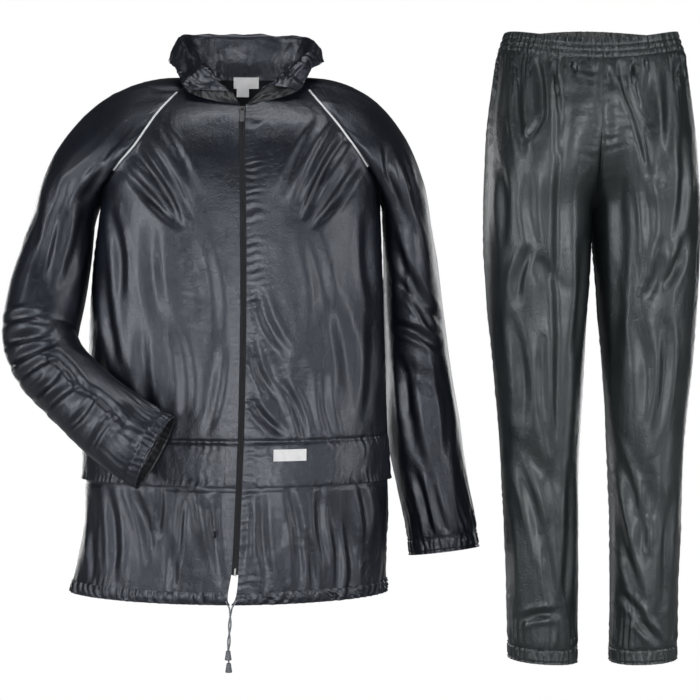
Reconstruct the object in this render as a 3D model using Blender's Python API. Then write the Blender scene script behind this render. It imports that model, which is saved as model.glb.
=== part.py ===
# Rain suit: a zipped jacket with raglan sleeves, and trousers beside it
#
# Both garments are filled out as if worn, and are hollow walls of cloth.
# Sizes are in millimetres until a mesh is made. +Z is up and the front faces -Y.
# "right" is the wearer's right, on the -X side. The origin is the middle of the neck ring.

import math

import bpy
import numpy as np

MM = 0.001
CLOTH = 1.6            # wall of a panel: two layers of coated nylon and their seam
BAND = 1.2             # wall of a band or flap that lies on a panel
SEAM_GAP = 0.25        # each side of a seam is drawn back by this much
CLEAR = 0.35           # air between two pieces that lie on each other

# Jacket

# where a row of the jacket lies: 0 is the neck, 1 the armpit and 2 the hem
ROW_ARMPIT = 1.0
ROW_POCKET_SEAM, ROW_FLAP_EDGE = 1.594, 1.708
ROW_ZIP_END, ROW_TUNNEL = 1.926, 1.969
RAGLAN_ROWS = (0, .12, .26, .4, .54, .68, .81, .92, 1)
LOWER_ROWS = (1.1, 1.22, 1.35, 1.48, ROW_POCKET_SEAM, ROW_FLAP_EDGE, 1.82, ROW_ZIP_END, ROW_TUNNEL, 1.99, 2)
FRONT_COLUMNS = (.05, .16, .29, .42, .55, .68, .8, .9, 1)
BACK_COLUMNS = (.25, .48, .68, .85, 1)

# row, x, y, z of the zip's line down the middle of the front
FRONT_MIDDLE = (
    (0.00, 4, -72, -33), (0.15, 4, -85, -50), (0.35, 4, -101, -77), (0.60, 5, -115, -113),
    (0.80, 6, -121, -147), (1.00, 7, -125, -186), (1.25, 8, -130, -341), (1.55, 5, -133, -527),
    (1.765, 0, -135, -660), (1.926, -5, -136, -760), (1.969, -8.5, -136, -787), (2.00, -11.5, -135, -806))
# row, x, y, z of the middle of the back
BACK_MIDDLE = (
    (0.00, 3, 72, 26), (0.15, 3, 92, 0), (0.35, 3, 107, -38), (0.60, 2, 117, -88),
    (0.80, 1, 121, -135), (1.00, 0, 122, -184), (1.25, 0, 119, -332), (1.55, -3, 117, -510),
    (1.80, -8, 120, -660), (2.00, -14, 124, -780))
# row, x, y, z of the right front raglan seam, then of the left one
RAGLAN_RIGHT = (
    (0.00, -92, -14, 6), (0.30, -130, -60, -40), (0.60, -167, -78, -96),
    (0.78, -195, -68, -128), (0.92, -219, -36, -162), (1.00, -226, 0, -184))
RAGLAN_LEFT = (
    (0.00, 98, -14, 8), (0.30, 130, -60, -32), (0.60, 166, -78, -78),
    (0.78, 196, -66, -121), (0.92, 215, -36, -158), (1.00, 219, 0, -184))
# row, x from the middle, y, z of a back raglan seam
RAGLAN_BACK = (
    (0.00, 69, 50, 24), (0.30, 112, 84, -10), (0.60, 160, 98, -64),
    (0.78, 192, 86, -112), (0.92, 215, 46, -156), (1.00, 222.5, 0, -184))
# row, x of the right side seam, x of the left side seam
SIDE_SEAMS = (
    (1.00, -226, 219), (1.13, -237, 222), (1.26, -243, 225), (1.50, -248, 229), (1.62, -252, 231),
    (1.70, -250, 231), (1.81, -251, 232), (1.886, -259, 228), (2.00, -273, 227))
SIDE_SEAM_TOP, SIDE_SEAM_END = -184, -800
# row, way that the front leaves the raglan seam: outward x, y, z, and its reach
LEAVE_FRONT = (
    (0.00, .12, -.85, -.50, 34), (0.30, -.72, -.62, -.30, 50), (0.60, -.85, -.52, -.06, 62),
    (0.78, -.70, -.71, 0, 68), (0.92, -.30, -.95, 0, 72), (1.00, 0, -1, 0, 74), (2.00, 0, -1, 0, 78))
LEAVE_BACK = (
    (0.00, -.80, .60, .03, 20), (0.30, -.85, .50, .10, 40), (0.60, -.86, .50, .05, 60),
    (0.78, -.60, .80, 0, 66), (0.92, -.25, .97, 0, 70), (1.00, 0, 1, 0, 71), (2.00, 0, 1, 0, 71))
# row, half of the opening between the fronts, for the zip and the slit below it
ZIP_OPENING = ((0.0, 5), (1.6, 5), (1.8, 5), (1.90, 5.05), (1.926, 5.4), (1.969, 6.6), (1.99, 5.2), (2.0, .9))

# Sleeves
# place round the sleeve runs from the armpit over the front and the top to the back
NECK_EDGE_STEPS = 3
BLEND_ROWS = (.12, .28, .46, .66, .84)
# place along, x, y, z of a sleeve's middle, half its width and half its depth
SLEEVE_RIGHT = (
    (0.00, -287, 6, -208, 49, 72), (0.14, -297, -2, -262, 56, 72), (0.32, -311, -20, -330, 61, 70),
    (0.46, -318, -48, -392, 59, 64), (0.56, -297, -78, -436, 56, 58), (0.66, -262, -106, -470, 55, 52),
    (0.78, -216, -136, -509, 57, 46), (0.90, -165, -160, -546, 60, 40), (0.965, -137, -169, -563, 60, 37),
    (1.00, -122, -172, -571, 61, 36))
SLEEVE_LEFT = (
    (0.00, 262, 26, -208, 37, 70), (0.14, 268, 40, -262, 42, 72), (0.30, 273, 52, -340, 47, 74),
    (0.48, 281, 60, -440, 52, 72), (0.66, 291, 58, -545, 59, 64), (0.80, 304, 54, -622, 57, 54),
    (0.92, 317, 50, -690, 56, 46), (0.965, 321, 49, -718, 56, 42), (1.00, 324, 48, -742, 57, 40))
SLEEVE_STEPS = (.07, .15, .24, .33, .41, .48, .55, .63, .72, .82, .91, .965)
CUFF_START, CUFF_END = .9656, 1.0
# row of the raglan seam, way that the sleeve leaves it: outward x, y, z, front first, then back
SLEEVE_LEAVES_FRONT = (
    (0.00, 1, .10, .14), (0.30, .93, -.10, -.33), (0.60, .78, -.20, -.60),
    (0.78, .62, -.20, -.76), (0.92, .60, -.10, -.79), (1.00, .75, 0, -.66))
SLEEVE_LEAVES_BACK = (
    (0.00, 1, .05, .10), (0.30, .95, .10, -.28), (0.60, .80, .22, -.55),
    (0.78, .64, .22, -.74), (0.92, .60, .10, -.79), (1.00, .75, 0, -.66))
BLEND_REACH = .40

# Collar: place round from the right front end, then x, y, z of its fold and of its leaf's edge
COLLAR = (
    (0.00, -15, -80, -13, -85, -63, -9), (0.08, -39, -65, 15, -94, -46, 4), (0.16, -66, -43, 43, -100, -29, 20),
    (0.24, -88, -16, 68, -105, -11, 34), (0.31, -101, 12, 88, -114, 14, 46), (0.39, -95, 44, 99, -110, 53, 54),
    (0.45, -56, 68, 102, -64, 88, 54), (0.50, -1, 78, 103, 0, 100, 52), (0.55, 56, 68, 101, 66, 88, 54),
    (0.61, 101, 46, 95, 114, 60, 52), (0.69, 113, 18, 80, 124, 24, 48), (0.76, 111, -8, 62, 121, -4, 42),
    (0.84, 91, -34, 40, 108, -27, 30), (0.92, 67, -56, 18, 101, -45, 10), (1.00, 42, -76, -3, 92, -63, -9))
COLLAR_STEPS = 32
COLLAR_LIFT = .6

# Trousers

MIDDLE_X = 557.6
# front: y and z at the middle seam or inside leg, z at the side, turn of the row there, reaches
# row, y, z, side z, turn in degrees from across to forward, inner reach, outer reach
LEG_FRONT = (
    (0.00, -124, 34, 61, 0, 82, 68), (0.10, -127, 6, 28, 0, 88, 72), (0.20, -128, -30, -14, 6, 92, 78),
    (0.30, -124, -68, -58, 16, 96, 90), (0.40, -112, -106, -100, 30, 100, 106),
    (0.50, -90, -142, -140, 46, 112, 126), (0.60, -60, -170, -174, 62, 124, 136),
    (0.70, -30, -188, -204, 78, 136, 142),
    (0.80, 0, -196, -232, 90, 155, 155), (1.00, 0, -250, -262, 90, 151, 151), (1.30, 0, -350, -352, 90, 132, 132),
    (1.60, 0, -500, -500, 90, 112, 112), (1.80, 0, -650, -650, 90, 97, 97), (2.00, 0, -890, -884, 90, 83, 83))
LEG_BACK = (
    (0.00, 112, 83, 61, 0, 82, 62), (0.10, 120, 44, 28, 0, 90, 70), (0.20, 126, 0, -14, 6, 96, 80),
    (0.30, 126, -46, -58, 14, 102, 94), (0.40, 118, -92, -100, 28, 108, 112), (0.50, 98, -135, -140, 44, 120, 132),
    (0.60, 66, -168, -174, 60, 130, 144), (0.70, 33, -188, -204, 76, 140, 148),
    (0.80, 0, -196, -232, 90, 162, 162), (1.00, 0, -250, -262, 90, 155, 155), (1.30, 0, -350, -352, 90, 130, 130),
    (1.60, 0, -500, -500, 90, 108, 108), (1.80, 0, -650, -650, 90, 100, 100), (2.00, 0, -890, -884, 90, 92, 92))
# height, x of the right side, right inside leg, left inside leg, left side
LEG_SIDES = (
    (-915, 426, 534, 585.6, 691), (-870, 424, 534, 587, 693), (-787, 422, 535, 588, 695), (-706, 419, 535, 588, 699),
    (-656, 416, 535, 587, 700), (-592, 413, 536, 584, 702), (-525, 408, 539, 581, 707), (-458, 402, 543, 577, 715),
    (-376, 394, 547, 570, 722), (-320, 389, 552, 566, 725), (-275, 386, 555, 562, 728),
    (-245, 385, 555.8, 559.6, 729), (-196, 385, 557.6, 557.6, 730), (-141, 387, 557.6, 557.6, 726),
    (-74, 389, 557.6, 557.6, 723), (-29, 394, 557.6, 557.6, 716), (21, 401, 557.6, 557.6, 710),
    (61, 408, 557.6, 557.6, 704))
LEG_ROWS = (0, .08, .17, .26, .35, .44, .53, .62, .71, .8, .92, 1.06, 1.2, 1.34, 1.48, 1.6, 1.7, 1.8, 1.9, 2)
LEG_COLUMNS = (0, .06, .16, .27, .39, .51, .63, .75, .87, 1)
WAISTBAND_HEIGHT, WAIST_NARROWING = 28.5, .925
WAIST_STEPS, WAIST_WAVES, WAIST_WAVE = 96, 32, 1.3
HEM_STEPS, HEM_WAVES, HEM_WAVE, HEM_BAND_HEIGHT = 36, 12, 1.2, 22
CUFF_STEPS, CUFF_WAVES, CUFF_WAVE = 36, 12, 1.1

# Folds: garment part, two ends of the fold in x and z, half width, depth; a ridge is negative
FOLDS = (
    ("jacket_front_right", -178, -92, -96, -206, 16, 7), ("jacket_front_right", -196, -128, -104, -214, 14, 5),
    ("jacket_front_right", -70, -250, -40, -420, 20, 4), ("jacket_front_right", -150, -640, -112, -760, 20, 7),
    ("jacket_front_right", -60, -640, -72, -750, 18, -5),
    ("jacket_front_left", 170, -70, 100, -200, 16, 7), ("jacket_front_left", 190, -116, 116, -216, 14, 5),
    ("jacket_front_left", 44, -420, 72, -520, 18, 7), ("jacket_front_left", 92, -440, 116, -540, 18, 5),
    ("jacket_front_left", 130, -640, 190, -750, 20, 7), ("jacket_front_left", 206, -640, 200, -720, 16, -5),
    ("jacket_back", -150, -130, -40, -260, 24, 7), ("jacket_back", 150, -130, 50, -270, 24, 7),
    ("jacket_back", -60, -420, 70, -500, 26, 6), ("jacket_back", 120, -560, 150, -740, 22, 6),
    ("jacket_back", -130, -560, -150, -740, 22, 6),
    ("sleeve_right", -380, -398, -290, -392, 16, 9), ("sleeve_right", -372, -430, -286, -402, 12, 7),
    ("sleeve_right", -330, -190, -300, -330, 18, 5), ("sleeve_right", -190, -560, -150, -500, 14, 5),
    ("sleeve_left", 224, -130, 280, -250, 16, 6), ("sleeve_left", 250, -300, 318, -370, 16, 7),
    ("sleeve_left", 240, -440, 330, -480, 16, 5),
    ("leg_front_right", 505, -30, 488, -360, 22, 9), ("leg_front_right", 446, -270, 500, -320, 14, 6),
    ("leg_front_right", 430, -560, 500, -640, 18, 6), ("leg_front_left", 610, 20, 640, -150, 16, 9),
    ("leg_front_left", 596, -60, 604, -420, 18, 8), ("leg_front_left", 690, -270, 640, -330, 14, 6),
    ("leg_front_left", 600, -560, 660, -700, 18, 6), ("leg_back_right", 450, -200, 520, -290, 22, 8),
    ("leg_back_left", 665, -200, 595, -290, 22, 8), ("leg_back_right", 430, -420, 500, -470, 18, 7),
    ("leg_back_left", 690, -420, 620, -470, 18, 7))

# Pocket flaps, labels, zip, cords
FLAP_LIFT_TOP, FLAP_LIFT_EDGE = .4, 2.2
FLAP_LABEL = (54, 104, -568, -586)     # x from, x to, top z, bottom z
NECK_LABEL = (-19, 22, 30, 11)         # wide upper label
CARE_LABEL = (-14, 6, 29, -3)          # narrow label in front of it
PIPING_WIDTH, PIPING_HEIGHT, PIPING_LIFT, PIPING_START = 3.6, 1.4, .7, .75
TAPE_FROM, TAPE_TO, TAPE_WALL = 1.2, 13, .8
CHAIN_WIDTH, CHAIN_BACK, CHAIN_FRONT = 6.4, -1.5, 1.1
SLIDER_ROW, SLIDER_WIDTH, SLIDER_LENGTH, SLIDER_FRONT = .085, 9, 12, 3.4
BRIDGE_WIDTH, BRIDGE_REACH, BRIDGE_BAR = 2.2, 3.4, 1.0
PIN_HEIGHT, TAB_WALL, TAB_WIDTH, TAB_LENGTH = 4.7, 1.1, 7.4, 30
TAB_SLOT_LENGTH, TAB_SLOT_WIDTH = 6, 4
CORD_WIDTH = 2.6
CORD_RIGHT = ((-18, -138.5, -799.5), (-16, -141.2, -804), (-12.4, -142, -809), (-12, -143.5, -817),
              (-10.8, -143.7, -825), (-10.1, -142.4, -833), (-11, -140.7, -841), (-13.1, -140.2, -849),
              (-14.8, -141.3, -857), (-15.1, -143.2, -865), (-14.2, -146, -873.4))
CORD_LEFT = ((-1, -138.5, -797), (-4.4, -141.2, -802.6), (-8.8, -142, -809), (-10, -140.5, -817),
             (-12.1, -140.3, -825), (-13.6, -141.6, -833), (-13.6, -143.3, -841), (-12.4, -143.8, -849),
             (-11.5, -142.7, -857), (-12.1, -140.8, -865), (-14, -139.4, -872), (-14, -138.6, -880),
             (-14, -138.6, -887), (-13.8, -139.2, -893.4))
BELL_LENGTH, BELL_TOP, BELL_BOTTOM = 14, 3.4, 5.2


def along(table, place):
    """Read a table at a place in its first column, along a smooth curve."""
    rows = np.asarray(table, float)
    keys, values = rows[:, 0], rows[:, 1:]
    steps = np.diff(values, axis=0) / np.diff(keys)[:, None]
    slopes = np.concatenate([steps[:1], steps[:-1], steps[-1:]])[:len(keys)]
    before, after = steps[:-1], steps[1:]
    same_way = before * after > 0
    both = np.where(same_way, before + after, 1)
    slopes[1:-1] = np.where(same_way, 2 * before * after / both, 0)
    place = min(max(place, keys[0]), keys[-1])
    i = min(int(np.searchsorted(keys, place, side="right")) - 1, len(keys) - 2)
    span = keys[i + 1] - keys[i]
    t = (place - keys[i]) / span
    start = values[i] * (2 * t**3 - 3 * t**2 + 1) + slopes[i] * span * (t**3 - 2 * t**2 + t)
    end = values[i + 1] * (3 * t**2 - 2 * t**3) + slopes[i + 1] * span * (t**3 - t**2)
    return start + end


def bezier(a, b, c, d, t):
    return a * (1 - t)**3 + 3 * b * t * (1 - t)**2 + 3 * c * t * t * (1 - t) + d * t**3


def unit(vector):
    return vector / max(np.linalg.norm(vector), 1e-9)


# Shape of the jacket's body

def side_edge(side, back, row):
    """The point of the raglan seam or the side seam at a row; side is -1 right, 1 left."""
    if row <= ROW_ARMPIT:
        if not back:
            return along(RAGLAN_RIGHT if side < 0 else RAGLAN_LEFT, row)
        away, y, z = along(RAGLAN_BACK, row)
        armpit = (RAGLAN_RIGHT if side < 0 else RAGLAN_LEFT)[-1][1]
        lean = (armpit - side * RAGLAN_BACK[-1][1]) * row
        return np.array([side * away + lean + 3 * (1 - row), y, z])
    x = along(SIDE_SEAMS, row)[0 if side < 0 else 1]
    return np.array([x, 0, SIDE_SEAM_TOP + (row - 1) * (SIDE_SEAM_END - SIDE_SEAM_TOP)])


def body_point(side, back, u, row):
    """A point of a front or half of the back: u is 0 at the middle and 1 at the seam."""
    middle = along(BACK_MIDDLE if back else FRONT_MIDDLE, row)
    edge = side_edge(side, back, row)
    leave = along(LEAVE_BACK if back else LEAVE_FRONT, row)
    way = unit(np.array([leave[0] * side, leave[1], leave[2]]))
    reach = abs(edge[0] - middle[0]) * .56
    slope = (edge[2] - middle[2]) * .12
    near_middle = middle + np.array([side * reach, 0, slope])
    return bezier(middle, near_middle, edge + way * leave[3], edge, u)


def zip_edge(side, row):
    """How far along a front's row its zip edge lies."""
    middle, edge = along(FRONT_MIDDLE, row), side_edge(side, False, row)
    return along(ZIP_OPENING, row)[0] / (3 * .56 * abs(edge[0] - middle[0]))


def front_grid(side):
    rows = RAGLAN_ROWS + LOWER_ROWS
    return np.array([[body_point(side, False, u, row)
                      for u in (zip_edge(side, row),) + FRONT_COLUMNS] for row in rows])


def back_grid():
    rows = RAGLAN_ROWS + LOWER_ROWS
    right, left = BACK_COLUMNS[::-1], (0,) + BACK_COLUMNS
    return np.array([[body_point(-1, True, u, row) for u in right]
                     + [body_point(1, True, u, row) for u in left] for row in rows])


# Shape of a sleeve

def sleeve_ring(table, place, angles):
    """A ring round a sleeve; angle 0 is next to the body and 90 degrees is its front."""
    values = along(table, place)
    centre, wide, deep = values[:3], values[3], values[4]
    ahead = unit(along(table, place + .02)[:3] - along(table, place - .02)[:3])
    depth_way = unit(np.array([0, 1, 0]) - ahead * ahead[1])
    side_way = unit(np.cross(ahead, depth_way))
    inward = 1 if table is SLEEVE_RIGHT else -1
    side_way = side_way * (inward if side_way[0] > 0 else -inward)
    return np.array([centre + side_way * wide * math.cos(a) - depth_way * deep * math.sin(a) for a in angles])


def raglan_loop(side):
    """The loop of seam that a sleeve starts from, and the way it leaves it."""
    loop = []
    for row in RAGLAN_ROWS[::-1]:
        x, y, z = along(SLEEVE_LEAVES_FRONT, row)
        loop.append((side_edge(side, False, row), unit(np.array([side * x, y, z]))))
    start, end = side_edge(side, False, 0), side_edge(side, True, 0)
    for step in range(1, NECK_EDGE_STEPS):
        t = step / NECK_EDGE_STEPS
        point = bezier(start, start + np.array([side * 2, 22, 11]), end + np.array([side * 14, -16, 1]), end, t)
        loop.append((point, unit(np.array([side, .08, .12]))))
    for row in RAGLAN_ROWS[:-1]:
        x, y, z = along(SLEEVE_LEAVES_BACK, row)
        loop.append((side_edge(side, True, row), unit(np.array([side * x, y, z]))))
    return loop


def sleeve_angles(count):
    return [2 * math.pi * k / count for k in range(count)]


def sleeve_grid(side):
    table = SLEEVE_RIGHT if side < 0 else SLEEVE_LEFT
    loop = raglan_loop(side)
    angles = sleeve_angles(len(loop))
    first = sleeve_ring(table, 0, angles)
    ahead = unit(along(table, .03)[:3] - along(table, 0)[:3])
    rows = [[point for point, way in loop]]
    for t in BLEND_ROWS:
        row = []
        for (point, way), end in zip(loop, first):
            reach = BLEND_REACH * np.linalg.norm(end - point)
            row.append(bezier(point, point + way * reach, end - ahead * reach, end, t))
        rows.append(row)
    rows.append(first)
    rows += [sleeve_ring(table, place, angles) for place in SLEEVE_STEPS]
    return np.array(rows)


# Shape of the trousers

def leg_point(side, back, u, row):
    """A point of a leg's panel: u is 0 at the middle seam or inside leg, 1 at the side."""
    y, z, side_z, turn, inner, outer = along(LEG_BACK if back else LEG_FRONT, row)
    columns = (1, 0) if side < 0 else (2, 3)
    inside_x = along(LEG_SIDES, z)[columns[0]]
    outside_x = along(LEG_SIDES, side_z)[columns[1]]
    face = 1 if back else -1
    turn = math.radians(min(max(turn, 0), 90))
    start, end = np.array([inside_x, y, z]), np.array([outside_x, 0, side_z])
    way = np.array([side * math.cos(turn), face * math.sin(turn), 0])
    return bezier(start, start + way * inner, end + np.array([0, face * outer, 0]), end, u)


def leg_grid(side, back):
    return np.array([[leg_point(side, back, u, row) for u in LEG_COLUMNS] for row in LEG_ROWS])


# Walls

def folded(name, grid, normals):
    """Press the part's largest folds into its points."""
    moved = grid.copy()
    for part, x1, z1, x2, z2, half_width, depth in FOLDS:
        if part != name:
            continue
        start, end = np.array([x1, z1]), np.array([x2, z2])
        line = end - start
        flat = grid[..., [0, 2]] - start
        t = np.clip(flat @ line / (line @ line), 0, 1)
        distance = np.linalg.norm(flat - t[..., None] * line, axis=-1)
        facing = np.abs(normals[..., 1])**.5
        if not name.startswith(("jacket_back", "leg_back")):
            facing = facing * (normals[..., 1] < 0)
        press = depth * np.exp(-(distance / half_width)**2) * np.sin(np.pi * (.12 + .76 * t)) * facing
        moved -= normals * press[..., None]
    return moved


def grid_normals(grid, wrapped, sign):
    if wrapped:
        across = np.roll(grid, -1, axis=1) - np.roll(grid, 1, axis=1)
    else:
        across = np.gradient(grid, axis=1)
    down = np.gradient(grid, axis=0)
    normals = np.cross(across, down) * sign
    return normals / np.maximum(np.linalg.norm(normals, axis=2, keepdims=True), 1e-9)


def panel(name, grid, wrapped, sign, seams):
    normals = grid_normals(grid, wrapped, sign)
    keep = grid.copy()
    grid = folded(name, grid, normals)
    grid[0], grid[-1] = keep[0], keep[-1]
    if not wrapped:
        grid[:, 0], grid[:, -1] = keep[:, 0], keep[:, -1]
    return {"name": name, "grid": grid, "wrapped": wrapped, "seams": seams,
            "normals": grid_normals(grid, wrapped, sign), "reach": np.ones(grid.shape[:2])}


def edge_places(piece):
    rows, columns = piece["grid"].shape[:2]
    places = set()
    for edge in piece["seams"]:
        if edge in "TB":
            places |= {(0 if edge == "T" else rows - 1, j) for j in range(columns)}
        else:
            places |= {(i, 0 if edge == "L" else columns - 1) for i in range(rows)}
    return sorted(places)


def middle_way(normals):
    """The way that leans least from any of some normals."""
    way = unit(normals.sum(axis=0))
    for step in range(40):
        way = unit(way + .15 * normals[np.argmin(normals @ way)])
    return way


def share_seams(pieces):
    """Give both sides of a seam one normal, so that their walls meet and don't cross."""
    entries = [(piece, place) for piece in pieces for place in edge_places(piece)]
    points = np.array([piece["grid"][place] for piece, place in entries])
    old = np.array([piece["normals"][place] for piece, place in entries])
    for k, (piece, place) in enumerate(entries):
        near = np.linalg.norm(points - points[k], axis=1) < .02
        shared = middle_way(old[near])
        piece["normals"][place] = shared
        piece["reach"][place] = 1 / max(.62, float(shared @ old[k]))


def ease_corner(pieces, corner, radius):
    """Thin the walls where four seams gather, so that they don't cross there."""
    for piece in pieces:
        distance = np.linalg.norm(piece["grid"] - corner, axis=2)
        piece["reach"] *= np.clip(distance / radius, .35, 1)


def draw_back(piece):
    """Move a seam's edge into its own panel, to leave the gap at the seam."""
    grid = piece["grid"]
    rows, columns = grid.shape[:2]
    moves = {}
    for i, j in edge_places(piece):
        inner_i = 1 if i == 0 and "T" in piece["seams"] else i
        inner_i = rows - 2 if i == rows - 1 and "B" in piece["seams"] else inner_i
        inner_j = j
        if not piece["wrapped"]:
            inner_j = 1 if j == 0 and "L" in piece["seams"] else j
            inner_j = columns - 2 if j == columns - 1 and "R" in piece["seams"] else inner_j
        move = grid[inner_i, inner_j] - grid[i, j]
        if inner_i == i:
            seam = unit(grid[min(i + 1, rows - 1), j] - grid[max(i - 1, 0), j])
            move = move - seam * (move @ seam)
        elif inner_j == j:
            before = (j - 1) % columns if piece["wrapped"] else max(j - 1, 0)
            after = (j + 1) % columns if piece["wrapped"] else min(j + 1, columns - 1)
            seam = unit(grid[i, after] - grid[i, before])
            move = move - seam * (move @ seam)
        moves[i, j] = unit(move) * SEAM_GAP
    for place, move in moves.items():
        grid[place] = grid[place] + move


def offset(piece, distance):
    return piece["grid"] + piece["normals"] * (piece["reach"] * distance)[..., None]


def shell(name, outer, inner, wrapped, material):
    """A closed wall between two grids of points."""
    rows, columns = outer.shape[:2]
    points = np.concatenate([outer.reshape(-1, 3), inner.reshape(-1, 3)])
    under = rows * columns
    faces = []

    def quad(a, b, c, d):
        faces.append((a, b, c))
        faces.append((a, c, d))

    last = columns if wrapped else columns - 1
    for i in range(rows - 1):
        for j in range(last):
            k = (j + 1) % columns
            a, b, c, d = i * columns + j, i * columns + k, (i + 1) * columns + k, (i + 1) * columns + j
            quad(a, b, c, d)
            quad(under + a, under + d, under + c, under + b)
    for j in range(last):
        k = (j + 1) % columns
        bottom = (rows - 1) * columns
        quad(k, j, under + j, under + k)
        quad(bottom + j, bottom + k, under + bottom + k, under + bottom + j)
    if not wrapped:
        for i in range(rows - 1):
            a, b = i * columns, (i + 1) * columns
            quad(a, b, under + b, under + a)
            a, b = a + columns - 1, b + columns - 1
            quad(b, a, under + a, under + b)
    return solid(name, points, faces, material)


def solid(name, points, faces, material):
    corners = points[np.array([face[:3] for face in faces])]
    volume = np.einsum("ij,ij->i", corners[:, 0], np.cross(corners[:, 1], corners[:, 2])).sum()
    if volume < 0:
        faces = [face[::-1] for face in faces]
    mesh = bpy.data.meshes.new(name)
    mesh.from_pydata([tuple(point) for point in points * MM], [], faces)
    mesh.update()
    mesh.shade_smooth()
    mesh.set_sharp_from_angle(angle=math.radians(50))
    mesh.materials.append(material)
    piece = bpy.data.objects.new(name, mesh)
    bpy.context.scene.collection.objects.link(piece)
    return piece


def wall(piece, material, thickness=CLOTH):
    draw_back(piece)
    return shell(piece["name"], piece["grid"], offset(piece, -thickness), piece["wrapped"], material)


def cloth_material(name, colour, roughness, metallic=0.0):
    material = bpy.data.materials.new(name)
    material.use_nodes = True
    shader = material.node_tree.nodes["Principled BSDF"]
    shader.inputs["Base Color"].default_value = (*colour, 1)
    shader.inputs["Roughness"].default_value = roughness
    shader.inputs["Metallic"].default_value = metallic
    return material


# Pieces of the jacket

def jacket_panels():
    pieces = {
        "front_right": panel("jacket_front_right", front_grid(-1), False, 1, "R"),
        "front_left": panel("jacket_front_left", front_grid(1), False, -1, "R"),
        "back": panel("jacket_back", back_grid(), False, 1, "LR"),
        "sleeve_right": panel("sleeve_right", sleeve_grid(-1), True, 1, "T"),
        "sleeve_left": panel("sleeve_left", sleeve_grid(1), True, -1, "T")}
    share_seams(list(pieces.values()))
    for side in (-1, 1):
        ease_corner(pieces.values(), side_edge(side, False, ROW_ARMPIT), 80)
    return pieces


def neck_ring():
    """The neck's edge from the right of the zip round the back to its left, as closely set points."""
    steps = [k / 16 for k in range(17)]
    right = [body_point(-1, False, u, 0) for u in steps if u * 200 > 2]
    neck_right = [point for point, way in raglan_loop(-1)][len(RAGLAN_ROWS) - 1:len(RAGLAN_ROWS) + NECK_EDGE_STEPS]
    back_right = [body_point(-1, True, u, 0) for u in steps[::-1]]
    back_left = [body_point(1, True, u, 0) for u in steps]
    neck_left = [point for point, way in raglan_loop(1)][len(RAGLAN_ROWS) - 1:len(RAGLAN_ROWS) + NECK_EDGE_STEPS]
    left = [body_point(1, False, u, 0) for u in steps[::-1] if u * 200 > 2]
    ring = right + neck_right[1:] + back_right[1:] + back_left[1:] + neck_left[::-1][1:] + left[1:]
    return np.array(ring)


def walk(points, count):
    """Points set evenly along a line of points."""
    lengths = np.concatenate([[0], np.cumsum(np.linalg.norm(np.diff(points, axis=0), axis=1))])
    wanted = np.linspace(0, lengths[-1], count)
    return np.stack([np.interp(wanted, lengths, points[:, k]) for k in range(3)], axis=1)


def collar_grid():
    """Rows from the neck seam up the stand, over the fold and down the leaf."""
    base = walk(neck_ring(), COLLAR_STEPS + 1) + np.array([0, 0, COLLAR_LIFT])
    columns = []
    for step, foot in enumerate(base):
        values = along(COLLAR, step / COLLAR_STEPS)
        fold, edge = values[:3], values[3:]
        stand, leaf = foot - fold, edge - fold
        up, down = fold + unit(stand) * 9, fold + unit(leaf) * 9
        lean = np.array([foot[0] - 3, foot[1], 0]) * .05
        column = [foot, foot + (up - foot) * .4 + lean, up]
        column += [bezier(up, fold, fold, down, t) for t in (.3, .5, .7)]
        column += [down, down + (edge - down) * .5 + unit(lean) * 2.5, edge]
        columns.append(column)
    return np.transpose(np.array(columns), (1, 0, 2))


def collar(material):
    piece = panel("collar", collar_grid(), False, 1, "")
    shell("collar", offset(piece, CLOTH), piece["grid"], False, material)


def part_of_grid(piece, rows, columns, name):
    return {"name": name, "wrapped": False, "seams": "", "grid": piece["grid"][rows, columns],
            "normals": piece["normals"][rows, columns], "reach": piece["reach"][rows, columns]}


def on_top(piece, near, far, material):
    """A piece that lies on a panel, between two distances off the panel's points."""
    outer, inner = piece["grid"].copy(), piece["grid"].copy()
    rows = len(outer)
    for i in range(rows):
        lift = near + (far - near) * i / max(rows - 1, 1)
        reach = piece["reach"][i][:, None]
        outer[i] += piece["normals"][i] * reach * (lift + BAND)
        inner[i] += piece["normals"][i] * reach * lift
    return shell(piece["name"], outer, inner, False, material)


def pocket_flap(pieces, side, material):
    """A wide flap from the zip to the side seam, joined along its top."""
    piece = pieces["front_right" if side < 0 else "front_left"]
    rows = RAGLAN_ROWS + LOWER_ROWS
    top, end = rows.index(ROW_POCKET_SEAM), rows.index(ROW_FLAP_EDGE)
    name = "pocket_flap_right" if side < 0 else "pocket_flap_left"
    flap = part_of_grid(piece, slice(top, end + 1), slice(1, None), name)
    fine = {"name": name, "wrapped": False, "seams": ""}
    for key in ("grid", "normals", "reach"):
        a, b = flap[key][0], flap[key][-1]
        fine[key] = np.array([a + (b - a) * t for t in (0, .33, .67, 1)])
    inset = unit(fine["grid"][0, -2] - fine["grid"][0, -1])
    fine["grid"][:, -1] = fine["grid"][:, -1] + inset * .4
    on_top(fine, FLAP_LIFT_TOP, FLAP_LIFT_EDGE, material)
    return fine


def hem_tunnel(pieces, material):
    """The folded hem that the drawstring runs in, open at the slit."""
    rows = RAGLAN_ROWS + LOWER_ROWS
    start = rows.index(ROW_TUNNEL)
    parts = [part_of_grid(pieces["front_right"], slice(start, None), slice(None, None, -1), ""),
             part_of_grid(pieces["back"], slice(start, None), slice(1, None), ""),
             part_of_grid(pieces["front_left"], slice(start, None), slice(None, None, -1), "")]
    right, back, left = parts
    band = {"name": "hem_tunnel", "wrapped": False, "seams": ""}
    for key in ("grid", "normals", "reach"):
        halves = [right[key][:, ::-1], back[key], left[key][:, 1:]]
        band[key] = np.concatenate(halves, axis=1)
    return on_top(band, CLEAR, CLEAR, material)


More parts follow.
